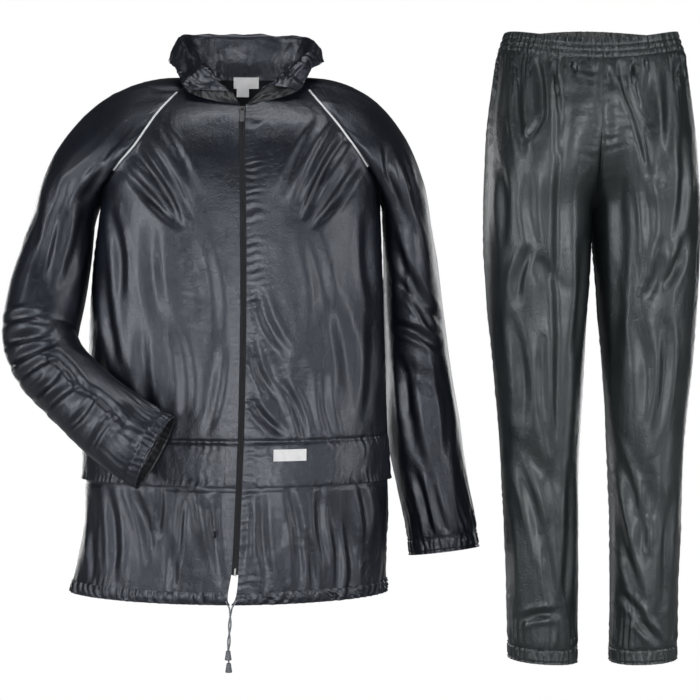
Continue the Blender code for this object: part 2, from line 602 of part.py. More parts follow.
def piping(pieces, side, material):
    """A narrow reflective cord laid along the front raglan seam, on the front's edge."""
    piece = pieces["front_right" if side < 0 else "front_left"]
    count = len(RAGLAN_ROWS) - 2
    seam, inner = piece["grid"][:count, -1].copy(), piece["grid"][:count, -2].copy()
    normals = np.cross(inner - seam, np.gradient(seam, axis=0)) * side
    normals /= np.linalg.norm(normals, axis=1, keepdims=True)
    seam[0] += (seam[1] - seam[0]) * PIPING_START
    inner[0] += (inner[1] - inner[0]) * PIPING_START
    across = inner - seam
    across /= np.linalg.norm(across, axis=1, keepdims=True)
    places = (1.8, 1.8 + PIPING_WIDTH / 2, 1.8 + PIPING_WIDTH)
    under = np.stack([seam + across * s + normals * PIPING_LIFT for s in places], axis=1)
    heights = (PIPING_HEIGHT * .6, PIPING_HEIGHT, PIPING_HEIGHT * .6)
    over = np.stack([seam + across * s + normals * (PIPING_LIFT + h) for s, h in zip(places, heights)], axis=1)
    shell("piping_right" if side < 0 else "piping_left", over, under, False, material)


def neck_labels(material):
    """Two blank labels that hang inside the back of the neck."""
    for name, (left, right, top, bottom), depth in (("neck_label", NECK_LABEL, 2.6), ("care_label", CARE_LABEL, 3.6)):
        rows = []
        for z in np.linspace(top, bottom, 4):
            row = []
            for x in np.linspace(left, right, 5):
                y = 72 * math.sqrt(1 - ((x - 3) / 96)**2) - depth - (top - z) * .12
                row.append((x, y, z))
            rows.append(row)
        grid = np.array(rows)
        shell(name, grid, grid + np.array([0, .6, 0]), False, material)


def flap_label(flap, material):
    """A blank patch on the left flap, made from the flap's points moved out."""
    x_from, x_to, top, bottom = FLAP_LABEL
    grid, normals = flap["grid"], flap["normals"]
    rows = []
    for z in (top, bottom):
        i_place = np.interp(-z, -grid[:, 3, 2], np.arange(len(grid)))
        low = min(int(i_place), len(grid) - 2)
        part = i_place - low
        lift = FLAP_LIFT_TOP + (FLAP_LIFT_EDGE - FLAP_LIFT_TOP) * i_place / (len(grid) - 1) + BAND + CLEAR + .5
        line = grid[low] * (1 - part) + grid[low + 1] * part
        across = normals[low] * (1 - part) + normals[low + 1] * part
        xs = np.linspace(x_from, x_to, 4)
        points = np.stack([np.interp(xs, line[:, 0], line[:, k]) for k in range(3)], axis=1)
        ways = np.stack([np.interp(xs, line[:, 0], across[:, k]) for k in range(3)], axis=1)
        rows.append(points + ways * lift)
    grid = np.array(rows)
    shell("flap_label", grid + np.array([0, -.7, 0]), grid, False, material)


# Zip

def zip_tapes(pieces, material):
    """The woven tapes behind the fronts' edges, down to the slit."""
    rows = RAGLAN_ROWS + LOWER_ROWS
    end = rows.index(ROW_ZIP_END)
    for side in (-1, 1):
        piece = pieces["front_right" if side < 0 else "front_left"]
        lines = []
        for k, row in enumerate(rows[:end + 1]):
            normal = piece["normals"][k, 0]
            middle = along(FRONT_MIDDLE, row)
            lines.append([middle + np.array([side * away, 0, 0]) - normal * (CLOTH + CLEAR + away * .045)
                          for away in (TAPE_FROM, TAPE_TO)])
        face = np.array(lines)
        depth = piece["normals"][:end + 1, 0][:, None] * TAPE_WALL
        shell("zip_tape_right" if side < 0 else "zip_tape_left", face, face - depth, False, material)


def slider_frame():
    """The slider's middle on the zip's line, with the ways across, up the zip and outward."""
    below, above = along(FRONT_MIDDLE, SLIDER_ROW + .04), along(FRONT_MIDDLE, SLIDER_ROW - .04)
    up = unit(above - below)
    across = np.array([1.0, 0, 0])
    out = unit(np.cross(across, up)) * -1
    if out[1] > 0:
        out = -out
    return along(FRONT_MIDDLE, SLIDER_ROW), across, up, out


def zip_chain(material):
    """The closed row of coils, plain here, from under the slider to the slit."""
    middle, across, up, out = slider_frame()
    start = middle - up * (SLIDER_LENGTH / 2 + CLEAR)
    rows = [row for row in RAGLAN_ROWS + LOWER_ROWS if SLIDER_ROW + .1 < row <= ROW_ZIP_END]
    points = [start] + [along(FRONT_MIDDLE, row) for row in rows]
    points = np.array(points)
    ways = np.gradient(points, axis=0)
    normals = np.cross(ways, across)
    normals /= np.linalg.norm(normals, axis=1, keepdims=True)
    normals *= np.where(normals[:, 1:2] > 0, -1, 1)
    sides = np.array([-CHAIN_WIDTH / 2, 0, CHAIN_WIDTH / 2])
    crown = (0, .35, 0)
    over = np.stack([points + across * s + normals * (CHAIN_FRONT + c) for s, c in zip(sides, crown)], axis=1)
    under = np.stack([points + across * s + normals * CHAIN_BACK for s in sides], axis=1)
    shell("zip_chain", over, under, False, material)


def zip_slider(material):
    """The slider's body with the bridge that carries its tab, in one closed piece."""
    middle, across, up, out = slider_frame()
    half, wide = SLIDER_LENGTH / 2, SLIDER_WIDTH / 2
    # place up the zip and height off it, round the side view of the body
    outline = ((half, -1.2), (half, SLIDER_FRONT - .6), (half - 1.2, SLIDER_FRONT),
               (-half + 1.2, SLIDER_FRONT), (-half, SLIDER_FRONT - .6), (-half, -1.2))
    taper = (1, 1, .92, .68, .7, .7)
    points = []
    for side in (-1, 1):
        for (t, n), width in zip(outline, taper):
            points.append(middle + across * side * wide * width + up * t + out * n)
    count = len(outline)
    faces = []
    for k in range(count):
        a, b = k, (k + 1) % count
        faces += [(a, b, count + b), (a, count + b, count + a)]
    for k in range(1, count - 1):
        faces += [(0, k + 1, k), (count, count + k, count + k + 1)]
    body = solid("zip_slider", np.array(points), faces, material)

    # the bridge: a bar bent over the pin's place, its feet sunk into the body
    outer_reach, inner_reach = BRIDGE_REACH, BRIDGE_REACH - BRIDGE_BAR
    ring = [(outer_reach, SLIDER_FRONT - 1), (outer_reach, PIN_HEIGHT + 1.2), (1.6, PIN_HEIGHT + 2.5),
            (-1.6, PIN_HEIGHT + 2.5), (-outer_reach, PIN_HEIGHT + 1.2), (-outer_reach, SLIDER_FRONT - 1)]
    hole = [(inner_reach, SLIDER_FRONT - 1), (inner_reach, PIN_HEIGHT + .8), (1.1, PIN_HEIGHT + 1.5),
            (-1.1, PIN_HEIGHT + 1.5), (-inner_reach, PIN_HEIGHT + .8), (-inner_reach, SLIDER_FRONT - 1)]
    sides = (-BRIDGE_WIDTH / 2, BRIDGE_WIDTH / 2)
    outer = np.array([[middle + across * s + up * t + out * n for s in sides] for t, n in ring])
    inner = np.array([[middle + across * s + up * t + out * n for s in sides] for t, n in hole])
    bridge = shell("zip_bridge", outer, inner, False, material)
    join = body.modifiers.new("bridge", "BOOLEAN")
    join.operation = "UNION"
    join.solver = "EXACT"
    join.object = bridge
    bridge.hide_render = True
    bridge.display_type = "WIRE"
    return body


def pull_tab(material):
    """The tab, with the slot that its bar leaves for the bridge, hung on its joint's axis."""
    middle, across, up, out = slider_frame()
    pin = middle + out * PIN_HEIGHT
    wide, slot = TAB_WIDTH / 2, TAB_SLOT_WIDTH / 2
    top, slot_top, slot_end, tail = .55, -.55, -.55 - TAB_SLOT_LENGTH, -TAB_LENGTH
    lines = ((-wide * .78, top), (wide * .78, top), (wide * .9, tail * .35), (wide, tail + 3), (wide * .6, tail),
             (-wide * .6, tail), (-wide, tail + 3), (-wide * .9, tail * .35))
    hole = ((-slot, slot_top), (slot, slot_top), (slot, slot_end + 1), (slot * .5, slot_end),
            (0, slot_end), (-slot * .5, slot_end), (-slot, slot_end + 1), (-slot, slot_top - 2))
    rim = np.array([[across * s + up * t for s, t in lines], [across * s + up * t for s, t in hole]])
    front, back = rim + out * TAB_WALL / 2, rim - out * TAB_WALL / 2
    tab = shell("pull_tab", front, back, True, material)
    tab.location = tuple(pin * MM)
    return tab


# Cords

def cord(name, points, material):
    curve = bpy.data.curves.new(name, "CURVE")
    curve.dimensions = "3D"
    curve.bevel_depth = CORD_WIDTH / 2 * MM
    curve.bevel_resolution = 1
    curve.resolution_u = 2
    curve.use_fill_caps = True
    spline = curve.splines.new("NURBS")
    spline.points.add(len(points) - 1)
    for point, place in zip(spline.points, points):
        point.co = (*(value * MM for value in place), 1)
    spline.use_endpoint_u = True
    spline.order_u = 3
    curve.materials.append(material)
    piece = bpy.data.objects.new(name, curve)
    bpy.context.scene.collection.objects.link(piece)


def cord_end(name, top, material):
    """A bell-shaped cord end with its mouth down."""
    profile = ((0, BELL_TOP), (-2, BELL_TOP + .5), (-BELL_LENGTH * .55, BELL_BOTTOM - .6),
               (-BELL_LENGTH * .85, BELL_BOTTOM), (-BELL_LENGTH, BELL_BOTTOM - .5))
    sides = 12
    points = []
    for drop, radius in profile:
        for k in range(sides):
            angle = 2 * math.pi * k / sides
            points.append((top[0] + radius * math.cos(angle), top[1] + radius * math.sin(angle), top[2] + drop))
    faces = []
    for i in range(len(profile) - 1):
        for j in range(sides):
            k = (j + 1) % sides
            a, b, c, d = i * sides + j, i * sides + k, (i + 1) * sides + k, (i + 1) * sides + j
            faces += [(a, d, c), (a, c, b)]
    last = (len(profile) - 1) * sides
    for j in range(1, sides - 1):
        faces += [(0, j, j + 1), (last, last + j + 1, last + j)]
    solid(name, np.array(points), faces, material)


# Gathered bands

def gathered_ring(name, base, top, centre_way, waves, wave, material):
    """A closed band between two rings of points, rippled outward by its elastic."""
    count = len(base)
    rows = []
    for part in (0, .33, .67, 1):
        line = base + (top - base) * part
        ripple = np.array([math.cos(2 * math.pi * waves * k / count) for k in range(count)])
        swell = wave * (.5 + .5 * part) * (1 if 0 < part else .4)
        rows.append(line + centre_way * (ripple * swell)[:, None])
    grid = np.array(rows)
    inner = grid - centre_way[None] * CLOTH
    return shell(name, grid, inner, True, material)


def spread(ring, count):
    closed = np.concatenate([ring, ring[:1]])
    return walk(closed, count + 1)[:-1]


def outward(ring):
    ways = ring - ring.mean(axis=0)
    ways[:, 2] = 0
    return ways / np.linalg.norm(ways, axis=1, keepdims=True)


def waistband(material):
    steps = [k / 24 for k in range(25)]
    right_front = [leg_point(-1, False, u, 0) for u in steps]
    right_back = [leg_point(-1, True, u, 0) for u in steps[::-1]]
    left_back = [leg_point(1, True, u, 0) for u in steps]
    left_front = [leg_point(1, False, u, 0) for u in steps[::-1]]
    ring = np.array(right_front[:-1] + right_back[:-1] + left_back[:-1] + left_front[:-1])
    base = spread(ring, WAIST_STEPS) + np.array([0, 0, .5])
    top = base.copy()
    top[:, 0] = MIDDLE_X + (base[:, 0] - MIDDLE_X) * WAIST_NARROWING
    top[:, 1] = base[:, 1] * .97
    top[:, 2] = base[:, 2] + WAISTBAND_HEIGHT
    gathered_ring("waistband", base, top, outward(base), WAIST_WAVES, WAIST_WAVE, material)


def leg_hem(side, material):
    steps = [k / 20 for k in range(21)]
    front = [leg_point(side, False, u, 2) for u in steps]
    back = [leg_point(side, True, u, 2) for u in steps[::-1]]
    base = spread(np.array(front[:-1] + back[:-1]), HEM_STEPS) - np.array([0, 0, .5])
    low = base - np.array([0, 0, HEM_BAND_HEIGHT])
    name = "leg_hem_right" if side < 0 else "leg_hem_left"
    gathered_ring(name, base, low, outward(base), HEM_WAVES, HEM_WAVE, material)


def cuff(side, material):
    table = SLEEVE_RIGHT if side < 0 else SLEEVE_LEFT
    angles = sleeve_angles(CUFF_STEPS)
    base, end = sleeve_ring(table, CUFF_START, angles), sleeve_ring(table, CUFF_END, angles)
    ways = base - base.mean(axis=0)
    ways /= np.linalg.norm(ways, axis=1, keepdims=True)
    name = "cuff_right" if side < 0 else "cuff_left"
    gathered_ring(name, base, end, ways, CUFF_WAVES, CUFF_WAVE, material)


def trousers(cloth):
    pieces = [panel("leg_front_right", leg_grid(-1, False), False, 1, "LRTB"),
              panel("leg_front_left", leg_grid(1, False), False, -1, "LRTB"),
              panel("leg_back_right", leg_grid(-1, True), False, -1, "LRTB"),
              panel("leg_back_left", leg_grid(1, True), False, 1, "LRTB")]
    share_seams(pieces)
    ease_corner(pieces, leg_point(1, False, 0, .8), 40)
    for piece in pieces:
        wall(piece, cloth)
    waistband(cloth)
    for side in (-1, 1):
        leg_hem(side, cloth)


def main():
    for old in list(bpy.data.objects):
        bpy.data.objects.remove(old, do_unlink=True)

    jacket_cloth = cloth_material("jacket_cloth", (.022, .026, .038), .38)
    trouser_cloth = cloth_material("trouser_cloth", (.068, .076, .08), .42)
    tape_black = cloth_material("tape_black", (.01, .011, .014), .7)
    zip_black = cloth_material("zip_black", (.02, .021, .025), .4)
    reflective = cloth_material("reflective_white", (.75, .77, .8), .5)
    label_white = cloth_material("label_white", (.85, .85, .86), .7)
    cord_grey = cloth_material("cord_grey", (.25, .27, .29), .7)
    end_grey = cloth_material("cord_end_grey", (.2, .22, .24), .45)

    pieces = jacket_panels()
    for side in (-1, 1):
        piping(pieces, side, reflective)
        cuff(side, jacket_cloth)
    flaps = [pocket_flap(pieces, side, jacket_cloth) for side in (-1, 1)]
    flap_label(flaps[1], label_white)
    hem_tunnel(pieces, jacket_cloth)
    zip_tapes(pieces, tape_black)
    for piece in pieces.values():
        wall(piece, jacket_cloth)
    collar(jacket_cloth)
    neck_labels(label_white)

    zip_chain(zip_black)
    zip_slider(zip_black)
    pull_tab(zip_black)
    cord("cord_right", CORD_RIGHT, cord_grey)
    cord("cord_left", CORD_LEFT, cord_grey)
    cord_end("cord_end_right", np.array([-14.2, -146.4, -874]), end_grey)
    cord_end("cord_end_left", np.array([-13.8, -139.2, -894]), end_grey)

    trousers(trouser_cloth)


main()
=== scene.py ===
# %% [markdown]
# A rain suit for a shop picture: a zipped jacket with raglan sleeves, and trousers beside it.
# Both are coated nylon, filled out as if worn, and nobody is in them.
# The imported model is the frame. Each cloth piece here is a thin, creased shell on its own solid's form.
# Lengths in the tables are millimetres, because a maker of clothes thinks in them.

# %% Load the frame
import math

import bpy
import numpy as np
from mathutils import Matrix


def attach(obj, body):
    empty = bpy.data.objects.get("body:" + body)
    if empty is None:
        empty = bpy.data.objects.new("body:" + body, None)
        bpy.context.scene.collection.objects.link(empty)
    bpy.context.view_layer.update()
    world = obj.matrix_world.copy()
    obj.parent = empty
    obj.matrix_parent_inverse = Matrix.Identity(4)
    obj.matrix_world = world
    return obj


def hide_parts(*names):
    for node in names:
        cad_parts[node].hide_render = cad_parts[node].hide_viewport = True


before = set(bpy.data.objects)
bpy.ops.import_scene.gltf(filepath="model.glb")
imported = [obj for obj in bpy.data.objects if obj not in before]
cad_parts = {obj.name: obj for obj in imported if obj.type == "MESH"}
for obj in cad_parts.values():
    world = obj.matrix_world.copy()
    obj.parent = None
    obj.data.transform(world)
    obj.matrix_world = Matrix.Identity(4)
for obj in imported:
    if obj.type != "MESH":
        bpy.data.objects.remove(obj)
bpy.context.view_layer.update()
MM = 0.001
BODY = "suit"
print("frame nodes:", len(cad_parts))

# %% [markdown]
# The camera comes first, because the drawstring has to lie inside its view.
# It stands three metres in front of the suit, level, so the garments are hardly distorted.

# %% Camera
CAMERA_AWAY, VIEW_WIDTH, SENSOR = 3.0, 1.12, 36.0
AIM_X, AIM_Z = 0.1712, -0.416
camera_data = bpy.data.cameras.new("camera")
camera_data.sensor_width = SENSOR
camera_data.lens = SENSOR * CAMERA_AWAY / VIEW_WIDTH
camera = bpy.data.objects.new("camera", camera_data)
camera.location = (AIM_X, -CAMERA_AWAY, AIM_Z)
camera.rotation_euler = (math.radians(90), 0, 0)
bpy.context.scene.collection.objects.link(camera)
bpy.context.scene.camera = camera
print("lens:", round(camera_data.lens, 2), "mm")

# %% [markdown]
# A pattern piece is described by short tables: where its middle and its seams run, row by row.
# A smooth curve is read through each table. The slopes are limited, so the curve never overshoots.

# %% Reading tables along smooth curves
def along(table, place):
    rows = np.asarray(table, float)
    keys, values = rows[:, 0], rows[:, 1:]
    steps = np.diff(values, axis=0) / np.diff(keys)[:, None]
    slopes = np.concatenate([steps[:1], steps[:-1], steps[-1:]])[:len(keys)]
    before, after = steps[:-1], steps[1:]
    same_way = before * after > 0
    both = np.where(same_way, before + after, 1)
    slopes[1:-1] = np.where(same_way, 2 * before * after / both, 0)
    place = min(max(place, keys[0]), keys[-1])
    i = min(int(np.searchsorted(keys, place, side="right")) - 1, len(keys) - 2)
    span = keys[i + 1] - keys[i]
    t = (place - keys[i]) / span
    start = values[i] * (2 * t**3 - 3 * t**2 + 1) + slopes[i] * span * (t**3 - 2 * t**2 + t)
    end = values[i + 1] * (3 * t**2 - 2 * t**3) + slopes[i + 1] * span * (t**3 - t**2)
    return start + end


def bezier(a, b, c, d, t):
    t = np.asarray(t, float)
    if t.ndim:
        t = t[:, None]
    return a * (1 - t)**3 + 3 * b * t * (1 - t)**2 + 3 * c * t * t * (1 - t) + d * t**3


def unit(vector):
    return vector / max(np.linalg.norm(vector), 1e-9)


def unit_rows(vectors):
    return vectors / np.maximum(np.linalg.norm(vectors, axis=-1, keepdims=True), 1e-9)


# %% Jacket tables
FRONT_MIDDLE = (
    (0.00, 4, -72, -33), (0.15, 4, -85, -50), (0.35, 4, -101, -77), (0.60, 5, -115, -113),
    (0.80, 6, -121, -147), (1.00, 7, -125, -186), (1.25, 8, -130, -341), (1.55, 5, -133, -527),
    (1.765, 0, -135, -660), (1.926, -5, -136, -760), (1.969, -8.5, -136, -787), (2.00, -11.5, -135, -806))
BACK_MIDDLE = (
    (0.00, 3, 72, 26), (0.15, 3, 92, 0), (0.35, 3, 107, -38), (0.60, 2, 117, -88),
    (0.80, 1, 121, -135), (1.00, 0, 122, -184), (1.25, 0, 119, -332), (1.55, -3, 117, -510),
    (1.80, -8, 120, -660), (2.00, -14, 124, -780))
RAGLAN_RIGHT = (
    (0.00, -92, -14, 6), (0.30, -130, -60, -40), (0.60, -167, -78, -96),
    (0.78, -195, -68, -128), (0.92, -219, -36, -162), (1.00, -226, 0, -184))
RAGLAN_LEFT = (
    (0.00, 98, -14, 8), (0.30, 130, -60, -32), (0.60, 166, -78, -78),
    (0.78, 196, -66, -121), (0.92, 215, -36, -158), (1.00, 219, 0, -184))
RAGLAN_BACK = (
    (0.00, 69, 50, 24), (0.30, 112, 84, -10), (0.60, 160, 98, -64),
    (0.78, 192, 86, -112), (0.92, 215, 46, -156), (1.00, 222.5, 0, -184))
SIDE_SEAMS = (
    (1.00, -226, 219), (1.13, -237, 222), (1.26, -243, 225), (1.50, -248, 229), (1.62, -252, 231),
    (1.70, -250, 231), (1.81, -251, 232), (1.886, -259, 228), (2.00, -273, 227))
SIDE_SEAM_TOP, SIDE_SEAM_END = -184, -800
LEAVE_FRONT = (
    (0.00, .12, -.85, -.50, 34), (0.30, -.72, -.62, -.30, 50), (0.60, -.85, -.52, -.06, 62),
    (0.78, -.70, -.71, 0, 68), (0.92, -.30, -.95, 0, 72), (1.00, 0, -1, 0, 74), (2.00, 0, -1, 0, 78))
LEAVE_BACK = (
    (0.00, -.80, .60, .03, 20), (0.30, -.85, .50, .10, 40), (0.60, -.86, .50, .05, 60),
    (0.78, -.60, .80, 0, 66), (0.92, -.25, .97, 0, 70), (1.00, 0, 1, 0, 71), (2.00, 0, 1, 0, 71))
ZIP_OPENING = ((0.0, 5), (1.6, 5), (1.8, 5), (1.90, 5.05), (1.926, 5.4), (1.969, 6.6), (1.99, 5.2), (2.0, .9))
RAGLAN_ROWS = (0, .12, .26, .4, .54, .68, .81, .92, 1)
ROW_ARMPIT, ROW_POCKET_SEAM, ROW_FLAP_EDGE, ROW_ZIP_END, ROW_TUNNEL = 1.0, 1.594, 1.708, 1.926, 1.969
SLEEVE_RIGHT = (
    (0.00, -287, 6, -208, 49, 72), (0.14, -297, -2, -262, 56, 72), (0.32, -311, -20, -330, 61, 70),
    (0.46, -318, -48, -392, 59, 64), (0.56, -297, -78, -436, 56, 58), (0.66, -262, -106, -470, 55, 52),
    (0.78, -216, -136, -509, 57, 46), (0.90, -165, -160, -546, 60, 40), (0.965, -137, -169, -563, 60, 37),
    (1.00, -122, -172, -571, 61, 36))
SLEEVE_LEFT = (
    (0.00, 262, 26, -208, 37, 70), (0.14, 268, 40, -262, 42, 72), (0.30, 273, 52, -340, 47, 74),
    (0.48, 281, 60, -440, 52, 72), (0.66, 291, 58, -545, 59, 64), (0.80, 304, 54, -622, 57, 54),
    (0.92, 317, 50, -690, 56, 46), (0.965, 321, 49, -718, 56, 42), (1.00, 324, 48, -742, 57, 40))
SLEEVE_LEAVES_FRONT = (
    (0.00, 1, .10, .14), (0.30, .93, -.10, -.33), (0.60, .78, -.20, -.60),
    (0.78, .62, -.20, -.76), (0.92, .60, -.10, -.79), (1.00, .75, 0, -.66))
SLEEVE_LEAVES_BACK = (
    (0.00, 1, .05, .10), (0.30, .95, .10, -.28), (0.60, .80, .22, -.55),
    (0.78, .64, .22, -.74), (0.92, .60, .10, -.79), (1.00, .75, 0, -.66))
BLEND_REACH, CUFF_START, NECK_EDGE_STEPS = .40, .9656, 3
COLLAR = (
    (0.00, -15, -80, -13, -85, -63, -9), (0.08, -39, -65, 15, -94, -46, 4), (0.16, -66, -43, 43, -100, -29, 20),
    (0.24, -88, -16, 68, -105, -11, 34), (0.31, -101, 12, 88, -114, 14, 46), (0.39, -95, 44, 99, -110, 53, 54),
    (0.45, -56, 68, 102, -64, 88, 54), (0.50, -1, 78, 103, 0, 100, 52), (0.55, 56, 68, 101, 66, 88, 54),
    (0.61, 101, 46, 95, 114, 60, 52), (0.69, 113, 18, 80, 124, 24, 48), (0.76, 111, -8, 62, 121, -4, 42),
    (0.84, 91, -34, 40, 108, -27, 30), (0.92, 67, -56, 18, 101, -45, 10), (1.00, 42, -76, -3, 92, -63, -9))

# %% Trouser tables
MIDDLE_X = 557.6
LEG_FRONT = (
    (0.00, -124, 34, 61, 0, 82, 68), (0.10, -127, 6, 28, 0, 88, 72), (0.20, -128, -30, -14, 6, 92, 78),
    (0.30, -124, -68, -58, 16, 96, 90), (0.40, -112, -106, -100, 30, 100, 106),
    (0.50, -90, -142, -140, 46, 112, 126), (0.60, -60, -170, -174, 62, 124, 136),
    (0.70, -30, -188, -204, 78, 136, 142),
    (0.80, 0, -196, -232, 90, 155, 155), (1.00, 0, -250, -262, 90, 151, 151), (1.30, 0, -350, -352, 90, 132, 132),
    (1.60, 0, -500, -500, 90, 112, 112), (1.80, 0, -650, -650, 90, 97, 97), (2.00, 0, -890, -884, 90, 83, 83))
LEG_BACK = (
    (0.00, 112, 83, 61, 0, 82, 62), (0.10, 120, 44, 28, 0, 90, 70), (0.20, 126, 0, -14, 6, 96, 80),
    (0.30, 126, -46, -58, 14, 102, 94), (0.40, 118, -92, -100, 28, 108, 112), (0.50, 98, -135, -140, 44, 120, 132),
    (0.60, 66, -168, -174, 60, 130, 144), (0.70, 33, -188, -204, 76, 140, 148),
    (0.80, 0, -196, -232, 90, 162, 162), (1.00, 0, -250, -262, 90, 155, 155), (1.30, 0, -350, -352, 90, 130, 130),
    (1.60, 0, -500, -500, 90, 108, 108), (1.80, 0, -650, -650, 90, 100, 100), (2.00, 0, -890, -884, 90, 92, 92))
LEG_SIDES = (
    (-915, 426, 534, 585.6, 691), (-870, 424, 534, 587, 693), (-787, 422, 535, 588, 695), (-706, 419, 535, 588, 699),
    (-656, 416, 535, 587, 700), (-592, 413, 536, 584, 702), (-525, 408, 539, 581, 707), (-458, 402, 543, 577, 715),
    (-376, 394, 547, 570, 722), (-320, 389, 552, 566, 725), (-275, 386, 555, 562, 728),
    (-245, 385, 555.8, 559.6, 729), (-196, 385, 557.6, 557.6, 730), (-141, 387, 557.6, 557.6, 726),
    (-74, 389, 557.6, 557.6, 723), (-29, 394, 557.6, 557.6, 716), (21, 401, 557.6, 557.6, 710),
    (61, 408, 557.6, 557.6, 704))
WAISTBAND_HEIGHT, WAIST_NARROWING, HEM_BAND_HEIGHT = 28.5, .925, 22

# %% [markdown]
# The large folds come first. Each is a line on the garment as seen from the front, with a half width
# and a depth. Below them comes a second table with the finer creases, which follow the picture where it
# shows them and are made up in the same manner on the hidden sides.
# A trough has raised lips on both sides, as pulled cloth has, and a minus depth makes a ridge.

# %% Folds and creases
FOLDS = (
    ("jacket_front_right", -178, -92, -96, -206, 16, 7), ("jacket_front_right", -196, -128, -104, -214, 14, 5),
    ("jacket_front_right", -70, -250, -40, -420, 20, 4), ("jacket_front_right", -150, -640, -112, -760, 20, 7),
    ("jacket_front_right", -60, -640, -72, -750, 18, -5),
    ("jacket_front_left", 170, -70, 100, -200, 16, 7), ("jacket_front_left", 190, -116, 116, -216, 14, 5),
    ("jacket_front_left", 44, -420, 72, -520, 18, 7), ("jacket_front_left", 92, -440, 116, -540, 18, 5),
    ("jacket_front_left", 130, -640, 190, -750, 20, 7), ("jacket_front_left", 206, -640, 200, -720, 16, -5),
    ("jacket_back", -150, -130, -40, -260, 24, 7), ("jacket_back", 150, -130, 50, -270, 24, 7),
    ("jacket_back", -60, -420, 70, -500, 26, 6), ("jacket_back", 120, -560, 150, -740, 22, 6),
    ("jacket_back", -130, -560, -150, -740, 22, 6),
    ("sleeve_right", -380, -398, -290, -392, 16, 9), ("sleeve_right", -372, -430, -286, -402, 12, 7),
    ("sleeve_right", -330, -190, -300, -330, 18, 5), ("sleeve_right", -190, -560, -150, -500, 14, 5),
    ("sleeve_left", 224, -130, 280, -250, 16, 6), ("sleeve_left", 250, -300, 318, -370, 16, 7),
    ("sleeve_left", 240, -440, 330, -480, 16, 5),
    ("leg_front_right", 505, -30, 488, -360, 22, 9), ("leg_front_right", 446, -270, 500, -320, 14, 6),
    ("leg_front_right", 430, -560, 500, -640, 18, 6), ("leg_front_left", 610, 20, 640, -150, 16, 9),
    ("leg_front_left", 596, -60, 604, -420, 18, 8), ("leg_front_left", 690, -270, 640, -330, 14, 6),
    ("leg_front_left", 600, -560, 660, -700, 18, 6), ("leg_back_right", 450, -200, 520, -290, 22, 8),
    ("leg_back_left", 665, -200, 595, -290, 22, 8), ("leg_back_right", 430, -420, 500, -470, 18, 7),
    ("leg_back_left", 690, -420, 620, -470, 18, 7))
